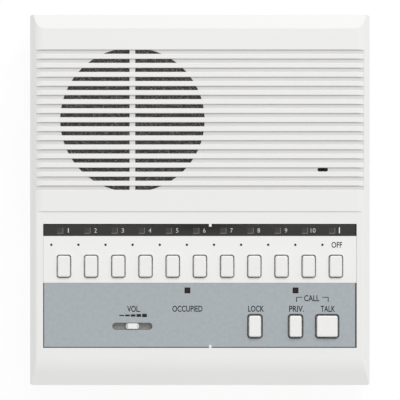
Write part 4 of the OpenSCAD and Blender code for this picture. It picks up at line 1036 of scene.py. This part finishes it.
# Wiring: grey ribbon of parallel cores from the key board to the amplifier, the lamp board and
# the volume board, and two-core leads to the loudspeaker and the microphone. Every end is
# soldered or sits in its connector.
cable_tree, cable_in, cable_out = geometry_tree(
    "cable_cores", Cores="Int", First_Core="Vector", Core_Step="Vector", Core="Float", Bend="Float"
)
cable_path = add_node(cable_tree, "GeometryNodeMeshToCurve", Mesh=cable_in["Geometry"])
cable_bent = add_node(
    cable_tree,
    "GeometryNodeFilletCurve",
    settings={"mode": "POLY"},
    Curve=cable_path,
    Count=6,
    Radius=cable_in["Bend"],
    Limit_Radius=True,
)
core_row = add_node(
    cable_tree,
    "GeometryNodeMeshLine",
    Count=cable_in["Cores"],
    Start_Location=cable_in["First Core"],
    Offset=cable_in["Core Step"],
)
core_paths = on_points(cable_tree, core_row, cable_bent)
core_lines = add_node(cable_tree, "GeometryNodeRealizeInstances", Geometry=core_paths)
close_tree(cable_tree, cable_in, cable_out, round_tube(cable_tree, core_lines, cable_in["Core"]))


def cable(name, node, path, cores, core, across, material):
    """Cores side by side along a path of points in millimetres; across is the direction of the row."""
    closeness = 0.98
    step = Vector(across) * core * closeness * MM
    points = [Vector(p) * MM for p in path]
    sizes = {
        "Cores": cores,
        "First Core": step * (-(cores - 1) / 2),
        "Core Step": step,
        "Core": core * MM,
        "Bend": 3.0 * MM,
    }
    links = [(i, i + 1) for i in range(len(points) - 1)]
    piece = grown(name, cable_tree, points, sizes, material, links)
    piece.data.shade_smooth()
    fixed(piece, node)


ribbon_grey = moulded("ribbon_grey", (0.42, 0.42, 0.43), cloud=0.12, cloud_size=6, gloss=0.4, bump=0.01)
lead_dark = moulded(
    "lead_dark", (0.10, 0.10, 0.105), cloud=0.2, cloud_size=6, gloss=0.4, bump=0.01, slot="ribbon_grey"
)
ribbons = {
    "key_ribbon": (18, [(57.4, -18.7, 18.4), (57.4, -13.1, 18.4), (57.4, -5.6, 15.6), (57.4, 0, 15.6)]),
    "lamp_ribbon": (9, [(-50.4, -18.2, 23), (-50.4, -19.75, 34.05), (-50.4, -21.3, 45.1)]),
    "volume_ribbon": (9, [(-41.7, -78, 23), (-41.7, -78, 31.2), (-41.7, -78, 39.4)]),
}
ribbon_core = 1.0
for name, (cores, path) in ribbons.items():
    cable(name, "ribbon_cables", path, cores, ribbon_core, (1, 0, 0), ribbon_grey)
speaker_lead = [
    (-5.96, 49.5, 40.15), (-5.96, 49.5, 35.95), (17.2, 49.5, 22.4), (22.2, 49.5, 17.4), (22.2, 49.5, 11.6)
]
mic_lead = [(75.9, 18.7, 46), (75.9, 18.7, 28), (75.9, 18.7, 11.6)]
lead_core = 1.6
cable("speaker_lead", "leads", speaker_lead, 2, lead_core, (0, 1, 0), lead_dark)
cable("mic_lead", "leads", mic_lead, 2, lead_core, (1, 0, 0), lead_dark)

# Terminals: a black moulded block with sixteen brass screws in wells, in a bay of the rear cover
# that opens to the back, so that wires can be clamped after the unit is closed.
dressed("terminal_block", black_plastic, 0.15)

screw_tree, screw_in, screw_out = geometry_tree(
    "cross_head_screw", Head_Diameter="Float", Head_Height="Float", Shank_Diameter="Float", Length="Float"
)
screw_math = partial(math_node, screw_tree)
head_diameter, head_height = screw_in["Head Diameter"], screw_in["Head Height"]


def drawn_in(blank, share):
    """A blank whose points come in toward its axis by a share of their radius."""
    x, y, z = parts_of(screw_tree, add_node(screw_tree, "GeometryNodeInputPosition"))
    left = screw_math("SUBTRACT", 1.0, share(x, y, z))
    sides = [screw_math("MULTIPLY", side, left) for side in (x, y)]
    drawn = add_node(screw_tree, "ShaderNodeCombineXYZ", *sides, z)
    return add_node(screw_tree, "GeometryNodeSetPosition", Geometry=blank, Position=drawn)


def crown(x, y, z):
    """The head's rounded shoulder: nothing at its seat, a fifth of the radius at its face."""
    rise = screw_math("SUBTRACT", 0.5, screw_math("DIVIDE", z, head_height))
    return screw_math("MULTIPLY", screw_math("POWER", rise, 3.0), 0.2)


def thread(x, y, z):
    """One groove that winds round the shank, a sixth of its radius deep."""
    pitch = 0.8 * MM
    advance = screw_math("MULTIPLY", z, 2 * math.pi / pitch)
    wave = screw_math("SINE", screw_math("ADD", advance, screw_math("ARCTAN2", y, x)))
    return screw_math("MULTIPLY_ADD", wave, 0.08, 0.08)


def moved(shape, z, rotation=(0.0, 0.0, 0.0)):
    """A shape turned and moved along the screw."""
    place = add_node(screw_tree, "ShaderNodeCombineXYZ", Z=z)
    return add_node(screw_tree, "GeometryNodeTransform", Geometry=shape, Translation=place, Rotation=rotation)


head_blank = round_blank(screw_tree, 32, head_diameter, head_height, 6)
head_shape = moved(drawn_in(head_blank, crown), screw_math("MULTIPLY", head_height, -0.5))
head_face = screw_math("MULTIPLY", head_height, -1.0)
cross_length, cross_width = (screw_math("MULTIPLY", head_diameter, share) for share in (0.58, 0.15))
cross_size = add_node(screw_tree, "ShaderNodeCombineXYZ", cross_length, cross_width, head_height)
cross_bar = add_node(screw_tree, "GeometryNodeMeshCube", Size=cross_size)
head_cut = add_node(
    screw_tree,
    "GeometryNodeMeshBoolean",
    settings={"operation": "DIFFERENCE", "solver": "EXACT"},
    Mesh_1=head_shape,
    Mesh_2=[moved(cross_bar, head_face, (0.0, 0.0, turn)) for turn in (0.0, math.pi / 2)],
)
shank_blank = round_blank(screw_tree, 14, screw_in["Shank Diameter"], screw_in["Length"], 40)
shank = moved(drawn_in(shank_blank, thread), screw_math("MULTIPLY", screw_in["Length"], 0.5))
screw_shape = add_node(screw_tree, "GeometryNodeJoinGeometry", Geometry=[head_cut, shank])
close_tree(screw_tree, screw_in, screw_out, on_points(screw_tree, screw_in["Geometry"], screw_shape))


def solids_of(node):
    """The low and high corner of each separate solid in a CAD node."""
    work = merged_copy(node)
    boxes = []
    for start in work.verts:
        if start.tag:
            continue
        start.tag = True
        solid, to_visit = [start], [start]
        while to_visit:
            for edge in to_visit.pop().link_edges:
                for vert in edge.verts:
                    if not vert.tag:
                        vert.tag = True
                        solid.append(vert)
                        to_visit.append(vert)
        boxes.append(corners_of([v.co for v in solid]))
    work.free()
    return boxes


def screws(node, shank_diameter, material):
    """Cross-head screws in the places of a CAD node's screws, one piece for each length."""
    head = 1.8 * MM
    smooth_limit = 40
    lengths = {}
    for low, high in solids_of(node):
        lengths.setdefault(round(high.z - low.z, 5), []).append((low, high))
    for count, (length, boxes) in enumerate(sorted(lengths.items()), start=1):
        seats = [((low.x + high.x) / 2, (low.y + high.y) / 2, low.z + head) for low, high in boxes]
        sizes = {
            "Head Diameter": boxes[0][1].x - boxes[0][0].x,
            "Head Height": head,
            "Shank Diameter": shank_diameter * MM,
            "Length": length - head,
        }
        piece = grown(f"{node}_set_{count}", screw_tree, seats, sizes, material)
        shade_by_angle(piece.data, smooth_limit)
        fixed(piece, node)


terminal_brass = metal("terminal_brass", (0.60, 0.43, 0.16), gloss=0.3)
screws("terminal_screws", 2.2, terminal_brass)

# Rear cover: a shallow white tray with the terminal bay, a cable channel to the top edge and two
# keyholes for the wall. Four long screws pull it to the front case, shorter ones hold the boards
# and the loudspeaker, and four black rubber feet are pressed into it.
screw_steel = metal("screw_steel", (0.60, 0.60, 0.61), gloss=0.28)
dressed("rear_cover", case_white)
dressed("feet", rubber_black, 0.4, 3)
screws("case_screws", 3.0, screw_steel)
screws("board_screws", 2.6, screw_steel)
screws("speaker_screws", 2.4, screw_steel)
